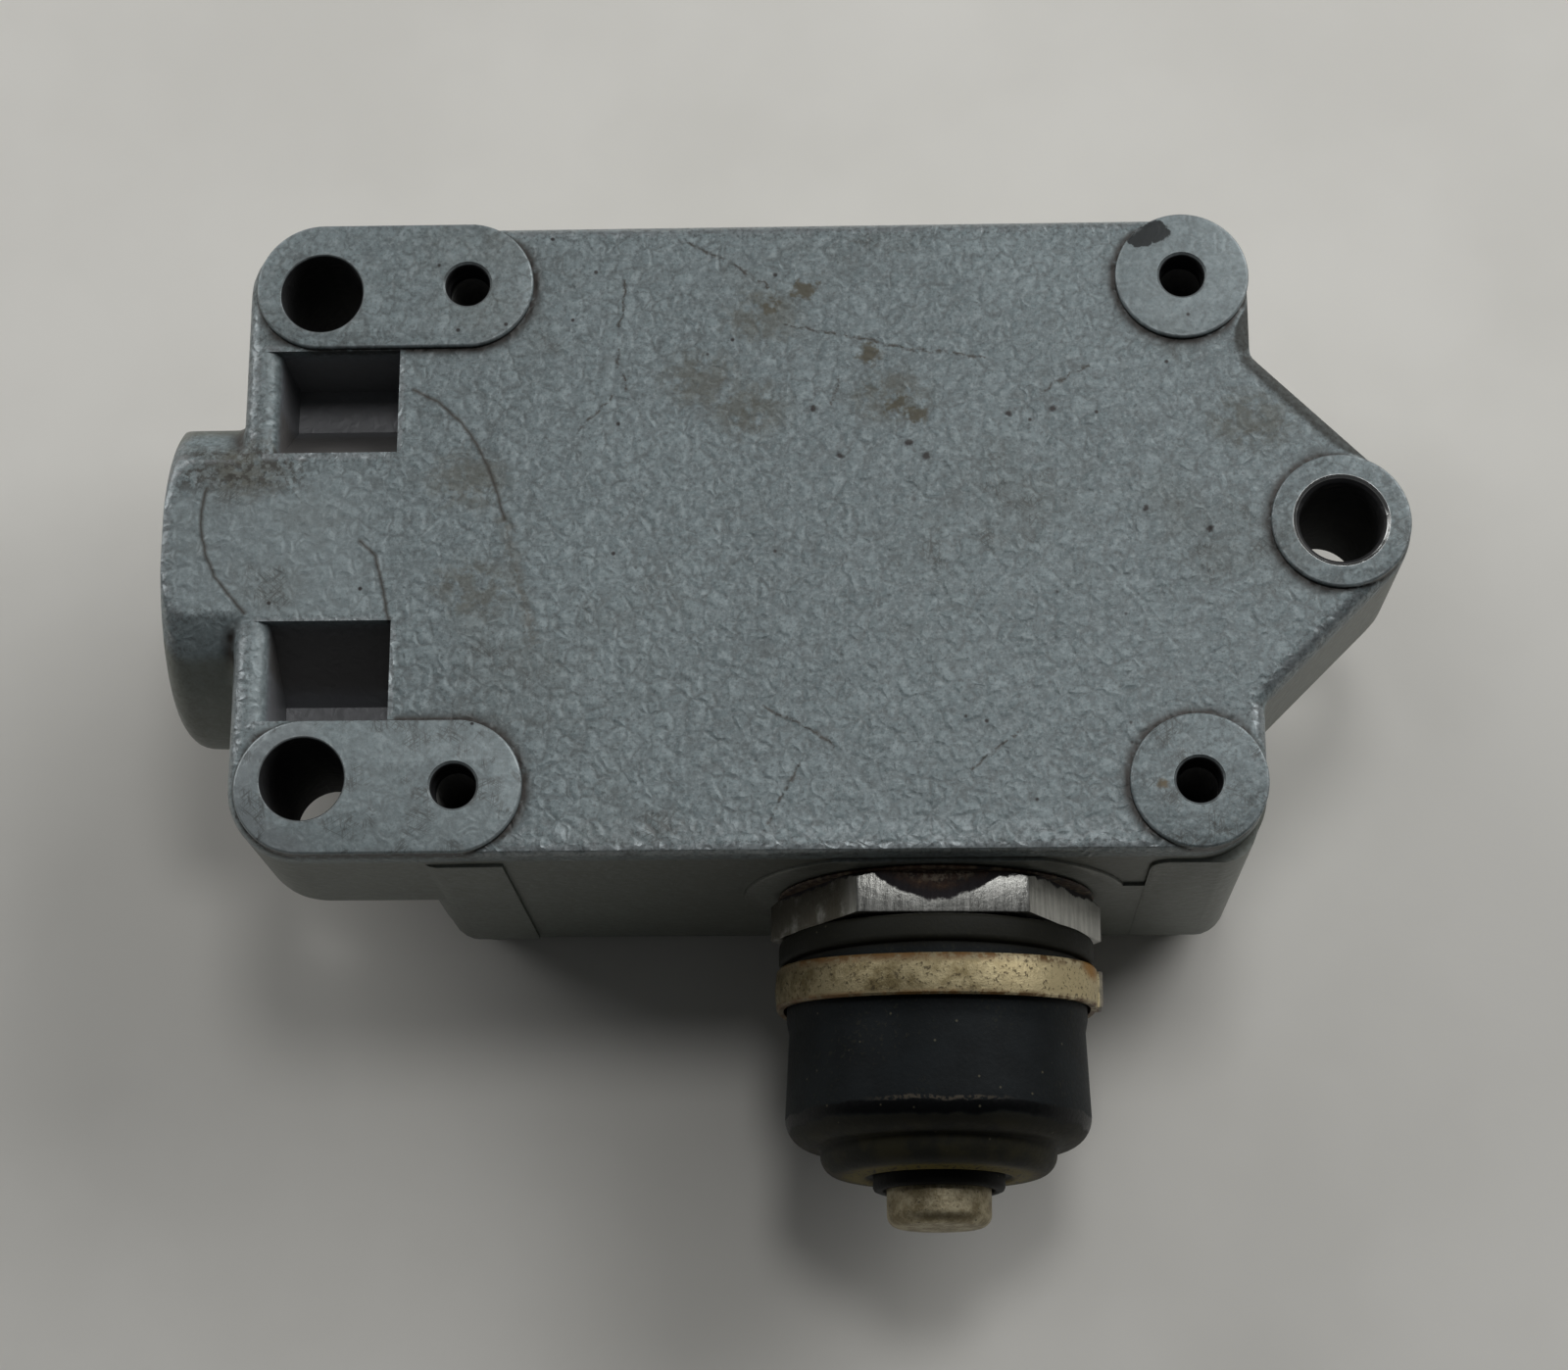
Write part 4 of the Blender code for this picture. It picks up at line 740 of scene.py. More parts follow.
def paintBase(tree, place, finish, grain):
    broad = noise(tree, place, 0.04, 2.0)
    mottle = noise(tree, place, 1.25, 3.0, 0.6)
    colour = tint(tree, fade(tree, broad, 0.35, 0.65), (0.150, 0.187, 0.195), (0.188, 0.233, 0.243))
    colour = tint(tree, scaled(tree, finish["Tone"], 0.4), colour, (0.255, 0.306, 0.318))
    colour = tint(tree, scaled(tree, fade(tree, mottle, 0.49, 0.66), 0.38), colour, (0.094, 0.108, 0.111))
    colour = tint(tree, scaled(tree, fade(tree, mottle, 0.50, 0.34), 0.38), colour, (0.32, 0.372, 0.382))
    # darker in the hollows between the hammered cells: painted shade of the cells
    colour = tint(tree, scaled(tree, fade(tree, finish["Height"], 0.3, 0.0), 0.24), colour, (0.075, 0.086, 0.088))
    colour = tint(tree, scaled(tree, fade(tree, grain, 0.53, 0.68), 0.5), colour, (0.060, 0.066, 0.065))
    colour = tint(tree, scaled(tree, fade(tree, grain, 0.46, 0.32), 0.45), colour, (0.31, 0.345, 0.35))
    return tint(tree, scaled(tree, finish["Outline"], 0.3), colour, (0.056, 0.060, 0.056))


def makeCastingPaint():
    material, tree, shader, place = newMaterial("castingPaint")
    c = casting
    m = castingMarks
    axes = splitAxes(tree, place)
    x, y, z = axes[0], axes[1], axes[2]
    wide = calc(tree, "ABSOLUTE", y)
    finish = useGroup(tree, hammerFinish, Vector=place, Cells=0.66)
    grain = noise(tree, place, 3.0, 2.0, 0.7)
    colour = paintBase(tree, place, finish, grain)
    # Distances from the rims of the pads and of the holes, below 0 inside them
    alongPad = calc(tree, "MAXIMUM", calc(tree, "MINIMUM", x, -c["columnX"]), -c["earHoleX"])
    offPad = calc(tree, "SUBTRACT", wide, c["columnY"])
    earPad = calc(tree, "SUBTRACT", gap(tree, calc(tree, "SUBTRACT", x, alongPad), offPad), c["columnRadius"])
    sidePad = calc(tree, "SUBTRACT", gap(tree, calc(tree, "SUBTRACT", x, c["columnX"]), offPad), c["columnRadius"])
    offNose = gap(tree, calc(tree, "SUBTRACT", x, c["noseHole"]), y)
    pad = smallest(tree, earPad, sidePad, calc(tree, "SUBTRACT", offNose, c["nosePad"]))
    offEar = gap(tree, calc(tree, "ADD", x, c["earHoleX"]), calc(tree, "SUBTRACT", wide, c["earHoleY"]))
    mountHole = calc(tree, "SUBTRACT", smallest(tree, offEar, offNose), c["mountHole"])
    offTap = gap(tree, calc(tree, "SUBTRACT", calc(tree, "ABSOLUTE", x), c["columnX"]), offPad)
    hole = smallest(tree, mountHole, calc(tree, "SUBTRACT", offTap, c["tappedHole"]))
    # Where on the casting a point is
    raised = fade(tree, z, faceZ + 0.25, faceZ + 0.4)
    onBack = fade(tree, z, faceZ - 1.6, faceZ - 0.6)
    onFace = allOf(tree, onBack, fade(tree, z, faceZ + 0.35, faceZ + 0.2))
    threaded = allOf(tree, fade(tree, hole, 0.35, 0.25), fade(tree, z, padZ - 0.15, padZ - 0.3))
    # the inside of the holes is painted near-black: painted shade
    paintedHoleShade = calc(tree, "MAXIMUM", fade(tree, hole, 0.1, 0.03), threaded)
    holeRing = allOf(tree, onBack, fade(tree, hole, 0.32, 0.2), fade(tree, hole, 0.03, 0.12))
    offRim = calc(tree, "SUBTRACT", offNose, c["mountHole"])
    noseRing = allOf(tree, onBack, fade(tree, offRim, 0.64, 0.52), fade(tree, offRim, 0.03, 0.12))
    inPocket = allOf(tree, fade(tree, z, faceZ - 0.4, faceZ - 2.0), fade(tree, x, -c["pocketLeft"] - 0.5, -c["pocketLeft"]),
                     fade(tree, x, -c["halfLength"] + 0.6, -c["halfLength"]), fade(tree, wide, 7.0, 8.4), fade(tree, wide, 17.4, 16.9))
    inBore = allOf(tree, fade(tree, gap(tree, y, calc(tree, "SUBTRACT", z, hubZ)), 10.9, 10.7), fade(tree, x, -33.0, -34.0))
    inCavity = allOf(tree, fade(tree, calc(tree, "ABSOLUTE", x), 34.4, 34.2), fade(tree, wide, 25.3, 25.1), fade(tree, z, roofZ + 0.3, roofZ + 0.1),
                     fade(tree, z, rimZ + 0.1, rimZ + 0.3))
    bare = calc(tree, "MAXIMUM", inBore, inCavity)
    clean = allOf(tree, fade(tree, x, -36.0, -42.0), fade(tree, y, 7.0, 3.0))
    nearPad = allOf(tree, raised, fade(tree, y, -10.0, -16.0), fade(tree, x, -20.0, -26.0))
    farPad = allOf(tree, raised, fade(tree, y, 10.0, 16.0), fade(tree, x, 20.0, 26.0))
    clean = calc(tree, "ADD", clean, calc(tree, "ADD", nearPad, farPad), clamp=True)
    colour = tint(tree, scaled(tree, clean, 0.32), colour, (0.27, 0.315, 0.325))
    # Dirt and stains
    flat = calcVector(tree, "MULTIPLY", place, (1, 1, 0))
    swirl = addNode(tree, "ShaderNodeTexNoise", {"Vector": place, "Scale": 0.8, "Detail": 3.0, "Roughness": 0.65})
    drift = calcVector(tree, "MULTIPLY", calcVector(tree, "SUBTRACT", swirl.outputs["Color"], (0.5, 0.5, 0.5)), (1, 1, 0))
    wavy = calcVector(tree, "ADD", flat, calcVector(tree, "MULTIPLY", drift, (4.5, 4.5, 0)))
    traced = calcVector(tree, "ADD", flat, calcVector(tree, "MULTIPLY", drift, (1.1, 1.1, 0)))
    steady = calcVector(tree, "ADD", flat, calcVector(tree, "MULTIPLY", drift, (0.35, 0.35, 0)))
    dust = useGroup(tree, patches, Vector=place, Scale=0.07, Cover=0.26)["Mask"]
    haze = drawSpots(tree, wavy, m["hazes"], (5.0, 3.6))
    stains = drawSpots(tree, wavy, m["stains"], (1.7, 1.1))
    brown = calc(tree, "ADD", scaled(tree, dust, 0.2), scaled(tree, allOf(tree, haze, fade(tree, swirl.outputs["Fac"], 0.32, 0.56)), 0.48), clamp=True)
    brown = calc(tree, "MAXIMUM", brown, scaled(tree, stains, 0.85))
    colour = tint(tree, allOf(tree, brown, onBack), colour, (0.086, 0.074, 0.046))
    flecks = drawSpots(tree, traced, m["flecks"], (0.55, 0.42))
    dark = calc(tree, "MAXIMUM", finish["Pits"], flecks)
    hubSoot = allOf(tree, fade(tree, x, -43.0, -47.0), fade(tree, y, 2.6, 5.2), fade(tree, y, 9.0, 7.4))
    chip = drawSpots(tree, traced, m["chip"], (1.7, 1.35))
    colour = tint(tree, allOf(tree, dark, onBack), colour, (0.020, 0.017, 0.016))
    colour = tint(tree, allOf(tree, raised, fade(tree, chip, 0.2, 0.4)), colour, (0.022, 0.026, 0.027))
    tan = drawSpots(tree, traced, m["tan"], (0.65, 0.5))
    colour = tint(tree, allOf(tree, tan, onBack), colour, (0.12, 0.095, 0.055))
    # Wear on edges, dirt and painted shade in creases, and a dark line of dirt and painted shadow at the foot of each
    # pad
    edge = addNode(tree, "ShaderNodeAttribute", attribute_name="edge").outputs["Fac"]
    edge = allOf(tree, edge, calc(tree, "SUBTRACT", 1.0, raised))
    crevice = addNode(tree, "ShaderNodeAttribute", attribute_name="crevice").outputs["Fac"]
    chipped = noise(tree, place, 1.3, 3.0, 0.7)
    worn = fade(tree, calc(tree, "ADD", scaled(tree, edge, 0.5), chipped), 0.78, 1.05)
    sooty = allOf(tree, onFace, hubSoot, fade(tree, chipped, 0.46, 0.58))
    colour = tint(tree, scaled(tree, sooty, 0.75), colour, (0.034, 0.029, 0.022))
    nearEdge = allOf(tree, onFace, fade(tree, y, -25.2, -26.8), fade(tree, chipped, 0.42, 0.6))
    padRim = allOf(tree, raised, fade(tree, pad, -0.4, -0.1), fade(tree, chipped, 0.42, 0.55))
    rubbed = allOf(tree, raised, fade(tree, y, 0.0, -1.0), fade(tree, x, -42.0, -45.5), fade(tree, earPad, -2.6, -1.0))
    worn = calc(tree, "MAXIMUM", worn, calc(tree, "MAXIMUM", scaled(tree, padRim, 0.6), scaled(tree, nearEdge, 0.5)))
    worn = calc(tree, "MAXIMUM", worn, scaled(tree, rubbed, 0.8))
    farEdge = allOf(tree, fade(tree, edge, 0.15, 0.75), fade(tree, x, 31.0, 34.0), fade(tree, y, 0.0, 3.0))
    worn = allOf(tree, worn, calc(tree, "SUBTRACT", 1.0, farEdge))
    colour = tint(tree, scaled(tree, farEdge, 0.75), colour, (0.050, 0.046, 0.038))
    colour = tint(tree, scaled(tree, worn, 0.62), colour, (0.30, 0.325, 0.335))
    edgeFlecks = allOf(tree, fade(tree, edge, 0.1, 0.5), fade(tree, grain, 0.5, 0.6))
    foot = allOf(tree, onFace, fade(tree, pad, 0.34, 0.05), fade(tree, chipped, 0.3, 0.5))
    # creases and pad feet darkened: dirt with painted shade
    overlay = calc(tree, "MAXIMUM", allOf(tree, crevice, fade(tree, z, faceZ - 4.0, faceZ - 2.0)), calc(tree, "MAXIMUM", scaled(tree, foot, 0.85), scaled(tree, edgeFlecks, 0.25)))
    colour = tint(tree, overlay, colour, (0.030, 0.026, 0.022))
    # Hairlines cross the pads, and die lines and scratches the back
    cross = None
    for turn, scale in ((0.6, 2.2), (-0.7, 2.6), (1.5, 2.4)):
        lines = useGroup(tree, hairlines, Vector=place, Turn=turn, Scale=scale, Width=0.04)["Mask"]
        cross = lines if cross is None else calc(tree, "MAXIMUM", cross, lines)
    crossed = calc(tree, "ADD", allOf(tree, raised, fade(tree, y, 5.0, -5.0)), allOf(tree, onFace, fade(tree, dust, 0.0, 0.6)), clamp=True)
    lineMask = scaled(tree, allOf(tree, cross, crossed), 0.6)
    for group in m["dieLines"]:
        lineMask = calc(tree, "MAXIMUM", lineMask, scaled(tree, drawLine(tree, steady, group, 0.3), 0.95))
    smear = allOf(tree, drawLine(tree, traced, m["smear"], 1.0), fade(tree, chipped, 0.3, 0.6))
    colour = tint(tree, scaled(tree, allOf(tree, smear, onBack), 0.6), colour, (0.075, 0.062, 0.040))
    dotted = fade(tree, chipped, 0.38, 0.55)
    for group in m["scratches"]:
        lineMask = calc(tree, "MAXIMUM", lineMask, allOf(tree, drawLine(tree, traced, group, 0.22), dotted))
    colour = tint(tree, allOf(tree, lineMask, onBack), colour, (0.040, 0.035, 0.028))
    # Walls, pockets, bores and the inside
    onWall = fade(tree, z, faceZ - 1.8, faceZ - 3.0)
    colour = tint(tree, scaled(tree, onWall, 0.7), colour, (0.142, 0.146, 0.116))
    # the wall beside the hex bushing darker brown: painted shade of the bushing and boot
    besideHex = allOf(tree, onWall, fade(tree, y, -26.0, -27.5), fade(tree, x, -22.0, -8.0), fade(tree, x, 34.0, 22.0))
    colour = tint(tree, scaled(tree, besideHex, 0.3), colour, (0.070, 0.064, 0.048))
    colour = tint(tree, scaled(tree, inPocket, 0.75), colour, (0.215, 0.215, 0.235))
    colour = tint(tree, scaled(tree, allOf(tree, inPocket, fade(tree, wide, 12.6, 11.4)), 0.5), colour, (0.10, 0.085, 0.066))
    colour = tint(tree, scaled(tree, holeRing, 0.25), colour, (0.33, 0.34, 0.34))
    colour = tint(tree, scaled(tree, noseRing, 0.8), colour, (0.46, 0.46, 0.45))
    # painted shade inside the holes
    colour = tint(tree, paintedHoleShade, colour, (0.005, 0.005, 0.006))
    colour = tint(tree, bare, colour, tint(tree, chipped, (0.16, 0.16, 0.155), (0.30, 0.295, 0.28)))
    cells = allOf(tree, finish["Height"], calc(tree, "SUBTRACT", 1.0, scaled(tree, calc(tree, "MAXIMUM", raised, onWall), 0.65)))
    height = calc(tree, "ADD", scaled(tree, cells, 0.06), scaled(tree, chipped, 0.02))
    roughness = calc(tree, "ADD", 0.44, scaled(tree, brown, 0.3))
    roughness = calc(tree, "SUBTRACT", roughness, scaled(tree, calc(tree, "MAXIMUM", worn, holeRing), 0.1))
    roughness = calc(tree, "SUBTRACT", roughness, scaled(tree, noseRing, 0.2))
    roughness = calc(tree, "ADD", roughness, scaled(tree, calc(tree, "MAXIMUM", paintedHoleShade, farEdge), 0.45), clamp=True)
    shiny = calc(tree, "MAXIMUM", scaled(tree, calc(tree, "MAXIMUM", worn, holeRing), 0.32), scaled(tree, bare, 0.45))
    shiny = calc(tree, "MAXIMUM", shiny, scaled(tree, noseRing, 0.7))
    metallic = allOf(tree, calc(tree, "ADD", 0.2, shiny), calc(tree, "SUBTRACT", 1.0, paintedHoleShade))
    giveSurface(tree, shader, colour, roughness, height, metallic)
    return material


castingPaint = makeCastingPaint()
castingPiece = makeCasting(castingPaint)


# Front cover, its seal and its four screws

cover = {"inset": 1.0, "corner": 4.75, "edgeRound": 0.5, "screwMouth": 3.75, "screwNeck": 2.35}
coverSeal = {"inset": 1.2, "corner": 4.55}
coverScrew = {"radius": 2.05, "head": 3.2, "length": 15.8, "sink": 0.15, "slotWidth": 0.9, "slotDepth": 1.0,
              "pitch": 0.8, "threadDepth": 0.22}


def roundedPlate(name, inset, corner, low, high):
    x = casting["halfLength"] - inset
    y = casting["halfWidth"] - inset
    return bevelWhere(addBlock(name, (-x, -y, low), (x, y, high)), corner, 10, standing)


def columnPlaces():
    return [(side * casting["columnX"], end * casting["columnY"]) for end in (-1, 1) for side in (-1, 1)]


def makeCover(material):
    low, high = boxInMm("cover")
    plate = roundedPlate("front_cover", cover["inset"], cover["corner"], low.z, high.z)
    bevelWhere(plate, cover["edgeRound"], 3, atHeight(low.z))
    bevelWhere(plate, 0.2, 2, atHeight(high.z))
    mouth = cover["screwMouth"]
    neck = cover["screwNeck"]
    profile = [(mouth, -overcut), (mouth, 0), (neck, mouth - neck), (neck, high.z + overcut)]
    sinks = [moveTo(turnProfile("sink", profile, 48), (x, y, 0)) for x, y in columnPlaces()]
    combine(plate, "DIFFERENCE", *sinks)
    finishPiece(plate, material)
    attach(plate, "housing_body")
    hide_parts("cover")


def makeCoverSeal(material):
    low, high = boxInMm("cover_gasket")
    seal = roundedPlate("cover_seal", coverSeal["inset"], coverSeal["corner"], low.z, high.z)
    bevelWhere(seal, 0.12, 2, lambda a, b: atHeight(low.z)(a, b) or atHeight(high.z)(a, b))
    c = casting
    inner = addBlock("inner", (-c["cavityX"], -c["cavityStepY"], low.z - 1), (c["cavityX"], c["cavityStepY"], high.z + 1))
    across = addBlock("across", (-c["cavityStepX"], -c["cavityY"], low.z - 1), (c["cavityStepX"], c["cavityY"], high.z + 1))
    holes = [addRod("hole", cover["screwNeck"], (x, y, low.z - 1), (x, y, high.z + 1), 32) for x, y in columnPlaces()]
    combine(seal, "DIFFERENCE", inner, across, *holes)
    finishPiece(seal, material)
    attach(seal, "housing_body")
    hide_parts("cover_gasket")


def makeCoverScrews(material):
    s = coverScrew
    cone = s["head"] - s["radius"]
    profile = [(s["radius"] - 0.5, -s["length"]), (s["radius"], -s["length"] + 0.5)]
    profile += [(r, h) for r, h in threadProfile(s["radius"] - s["threadDepth"], s["threadDepth"], s["pitch"],
                                                  -s["length"] + 0.8, -cone - 3)]
    profile += [(s["radius"] - 0.05, -cone - 2.6), (s["radius"] - 0.05, -cone), (s["head"] - 0.1, -0.12), (s["head"] - 0.2, 0)]
    screw = turnProfile("cover_screw", profile, 48)
    slotTool = addBlock("slot", (-5, -s["slotWidth"] / 2, -s["slotDepth"]), (5, s["slotWidth"] / 2, 1))
    combine(screw, "DIFFERENCE", slotTool)
    turns = (0.4, 1.9, 2.7, 0.9)
    for number, (x, y) in enumerate(columnPlaces(), start=1):
        one = copyPiece(screw, "cover_fixing_" + str(number))
        moveTo(one, (x, y, s["sink"]), (pi, 0, turns[number - 1]))
        finishPiece(one, material)
        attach(one, "housing_body")
        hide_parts("cover_screw_" + str(number))
    bpy.data.objects.remove(screw)


# Hex bushing, seal washer, boot, clamp band and button, all turned on the plunger's axis

bushing = {
    "shankIn": 19.0, "shank": 11.0, "hexIn": 29.5, "hexOut": 33.05, "acrossFlats": 25.4, "hexTurn": -2.2, "chamfer": 0.6,
    "neck": 11.6, "neckOut": 41.0, "chamber": 8.2, "chamberOut": 36.0, "guide": 3.6, "grooveIn": 19.8, "grooveOut": 21.2,
    "groove": 8.9, "pitch": 1.27, "threadDepth": 0.4,
}
washer = {"hole": 11.3, "radius": 14.0, "low": 29.2, "high": 29.5}
boot = {
    "low": 33.3, "bead": 13.9, "beadEnd": 35.6, "bore": 11.9, "wall": 13.2, "bandEnd": 40.2, "waist": 12.95, "body": 13.35, "shoulder": 51.4,
    "shoulderRound": 2.6, "tier": 10.3, "tierEnd": 53.8, "tierRound": 1.8, "ridge": 6.5, "lip": 5.75, "lipEnd": 55.1,
    "hole": 4.85, "neckEnd": 41.3, "inside": 11.45, "blendFrom": 41.0, "blendTo": 53.4,
}
band = {"low": 35.75, "high": 39.3, "inner": 13.5, "outer": 14.15, "lapProud": 0.4, "lapHalf": 1.3, "dip": 1.05}
button = {"low": 52.6, "high": 58.2, "radius": 4.55, "round": 1.1, "socket": 3.6, "socketTop": 55.9}


def makeBushing(material):
    b = bushing
    outside = [(b["shank"] - 0.6, b["shankIn"]), (b["shank"] - b["threadDepth"], b["shankIn"] + 0.6)]
    outside += threadProfile(b["shank"] - b["threadDepth"], b["threadDepth"], b["pitch"], b["shankIn"] + 0.8, b["hexIn"] - 1.5)
    outside += [(b["shank"] - b["threadDepth"], b["hexIn"] - 1.2), (b["shank"] - b["threadDepth"], b["hexIn"] + 1.0)]
    outside += [(b["neck"], b["hexIn"] + 1.0), (b["neck"], b["neckOut"] - 0.4), (b["neck"] - 0.4, b["neckOut"])]
    piece = turnProfile("hex_bushing", outside, 96)
    corner = b["acrossFlats"] / 3 ** 0.5
    deselectAll()
    bpy.ops.mesh.primitive_cylinder_add(vertices=6, radius=corner, depth=b["hexOut"] - b["hexIn"],
                                        location=(0, 0, (b["hexIn"] + b["hexOut"]) / 2),
                                        rotation=(0, 0, radians(b["hexTurn"] + 30)))
    hexagon = applyPlace(nameNew("hexagon"))
    bevelWhere(hexagon, 0.18, 2, standing)
    bevelWhere(hexagon, 0.12, 2, atHeight(b["hexOut"]))
    flat = corner - b["chamfer"] * 2
    limit = turnProfile("limit", [(flat, b["hexIn"] - 0.1), (corner + 0.4, b["hexIn"] + b["chamfer"] + 0.1),
                                  (corner + 0.4, b["hexOut"] + 0.5)], 128)
    combine(hexagon, "INTERSECT", limit)
    combine(piece, "UNION", hexagon)
    bore = [(b["chamber"], b["shankIn"] - overcut), (b["chamber"], b["grooveIn"]), (b["groove"], b["grooveIn"]),
            (b["groove"], b["grooveOut"]), (b["chamber"], b["grooveOut"]), (b["chamber"], b["chamberOut"]),
            (b["guide"], b["chamberOut"]), (b["guide"], b["neckOut"] + overcut)]
    combine(piece, "DIFFERENCE", turnProfile("bore", bore, 72))
    alongPlunger(piece)
    finishPiece(piece, material, 25)
    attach(piece, "housing_body")
    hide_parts("plunger_bushing")


def makeWasher(material):
    w = washer
    profile = [(w["hole"], w["low"]), (w["radius"] - 0.15, w["low"]), (w["radius"], w["low"] + 0.15), (w["radius"], w["high"] - 0.15),
               (w["radius"] - 0.15, w["high"]), (w["hole"], w["high"])]
    piece = alongPlunger(turnProfile("seal_washer", profile, 96, ring=True))
    finishPiece(piece, material)
    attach(piece, "housing_body")
    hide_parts("bushing_seal")


def bootProfile():
    b = boot
    outside = [(b["bore"], b["low"]), (b["bead"] - 0.5, b["low"])]
    outside += arcPoints(b["bead"] - 0.5, b["low"] + 0.5, 0.5, -90, 0, 4)
    outside += arcPoints(b["bead"] - 0.5, b["beadEnd"] - 0.5, 0.5, 0, 90, 4)
    outside += [(b["wall"], b["beadEnd"] + 0.05), (b["wall"], b["bandEnd"] - 1.5), (b["wall"], b["bandEnd"] + 0.1)]
    straight = b["shoulder"] - b["shoulderRound"]
    rings = 9
    for step in range(1, rings + 1):    # plain rings down the side
        share = step / rings
        outside.append((b["waist"] + (b["body"] - b["waist"]) * share, b["bandEnd"] + 0.3 + (straight - b["bandEnd"] - 0.3) * share))
    outside += arcPoints(b["body"] - b["shoulderRound"], straight, b["shoulderRound"], 0, 84, 10)[1:]
    outside += [(b["tier"] + 0.25, b["shoulder"] - 0.03), (b["tier"], b["shoulder"] + 0.22)]
    outside += arcPoints(b["tier"] - b["tierRound"], b["tierEnd"] - b["tierRound"], b["tierRound"], 0, 90, 8)
    outside += [(b["ridge"] + 0.7, b["tierEnd"]), (b["ridge"] + 0.4, b["tierEnd"] + 0.18), (b["ridge"], b["tierEnd"] + 0.18), (b["ridge"] - 0.25, b["tierEnd"] - 0.1),
                (b["lip"], b["tierEnd"] - 0.1), (b["lip"], b["lipEnd"] - 0.35), (b["lip"] - 0.12, b["lipEnd"] - 0.1), (b["lip"] - 0.35, b["lipEnd"])]
    inside = [(b["hole"] + 0.15, b["lipEnd"]), (b["hole"], b["lipEnd"] - 0.15), (b["hole"], b["tierEnd"] - 1.6)]
    inside += [(b["tier"] - 3.4, b["tierEnd"] - 1.6), (b["tier"] - 1.6, b["shoulder"] - 1.6), (b["inside"] - 1.6, b["shoulder"] - 1.6)]
    inside += [(b["inside"], b["shoulder"] - 3.2), (b["inside"], 46.0), (b["inside"], b["neckEnd"]), (b["bore"], b["neckEnd"])]
    return outside + inside


def makeBoot(material):
    piece = alongPlunger(turnProfile("rubber_boot", bootProfile(), 120, ring=True))
    attribute = piece.data.attributes.new("restPlace", "FLOAT_VECTOR", "POINT")    # keeps each point's place, for its finish
    for entry, vertex in zip(attribute.data, piece.data.vertices):
        entry.vector = vertex.co
    finishPiece(piece, material, 50)
    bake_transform(piece)
    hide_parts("boot")


def makeBand(material):
    b = band
    crown = 0.08
    middle = (b["low"] + b["high"]) / 2
    profile = [(b["inner"], b["low"]), (b["outer"] - 0.2, b["low"]), (b["outer"] - 0.04, b["low"] + 0.2), (b["outer"], b["low"] + 0.7),
               (b["outer"] + crown, middle), (b["outer"], b["high"] - 0.7), (b["outer"] - 0.04, b["high"] - 0.2),
               (b["outer"] - 0.2, b["high"]), (b["inner"], b["high"])]
    piece = turnProfile("clamp_band", profile, 144, ring=True)
    # The lapped end is a bar swept over the outside
    for vertex in piece.data.vertices:    # the band sits askew, farther out over the top of the boot
        vertex.co.z += b["dip"] * max(0, vertex.co.y / b["outer"]) ** 1.4
    lap = addBlock("lap", (b["outer"] - 0.3, -b["lapHalf"], b["low"] + 0.3), (b["outer"] + b["lapProud"], b["lapHalf"], b["high"] - 0.1))
    bevelWhere(lap, 0.18, 2, lambda a, b2: a.x > band["outer"] and b2.x > band["outer"])
    combine(piece, "UNION", lap)
    alongPlunger(piece)
    finishPiece(piece, material, 30)
    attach(piece, "housing_body")
    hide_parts("boot_clamp")


def makeButton(material):
    b = button
    profile = [(b["socket"], b["socketTop"]), (b["socket"], b["low"]), (b["radius"] - 0.2, b["low"]), (b["radius"], b["low"] + 0.2)]
    profile += arcPoints(b["radius"] - b["round"], b["high"] - b["round"], b["round"], 0, 80, 8)
    profile += [(b["radius"] * 0.5, b["high"] - 0.01), (0.6, b["high"])]
    piece = alongPlunger(turnProfile("push_button", profile, 96))
    finishPiece(piece, material)
    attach(piece, "plunger_body")
    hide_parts("plunger_button")


# Coil springs, swept by the Screw modifier from a round wire

returnCoil = {"node": "return_spring", "radius": 6.2, "wire": 1.0, "turns": 4, "keep": 0.5, "body": "housing_body"}
overtravelCoil = {"node": "overtravel_spring", "radius": 2.35, "wire": 0.6, "turns": 7, "keep": 0.59, "body": "plunger_body"}


def makeCoil(name, coil, material):
    low, high = boxInMm(coil["node"])
    start = -high.y + coil["wire"] / 2
    climb = high.y - low.y - coil["wire"]
    deselectAll()
    bpy.ops.mesh.primitive_circle_add(vertices=14, radius=coil["wire"] / 2, location=(coil["radius"], 0, start),
                                      rotation=(pi / 2, 0, 0))
    piece = applyPlace(nameNew(name))
    applyModifier(piece, "SCREW", axis="Z", screw_offset=climb / coil["turns"], iterations=coil["turns"], steps=32, render_steps=32,
                  use_merge_vertices=False, merge_threshold=0.0001)
    editAll(piece)
    bpy.ops.mesh.fill_holes(sides=0)
    bpy.ops.mesh.select_all(action="SELECT")
    bpy.ops.mesh.normals_make_consistent(inside=False)
    backToObject()
    alongPlunger(piece)
    finishPiece(piece, material, 40)
    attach(piece, coil["body"])
    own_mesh(piece)
    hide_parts(coil["node"])


# Materials of the turned and inner pieces

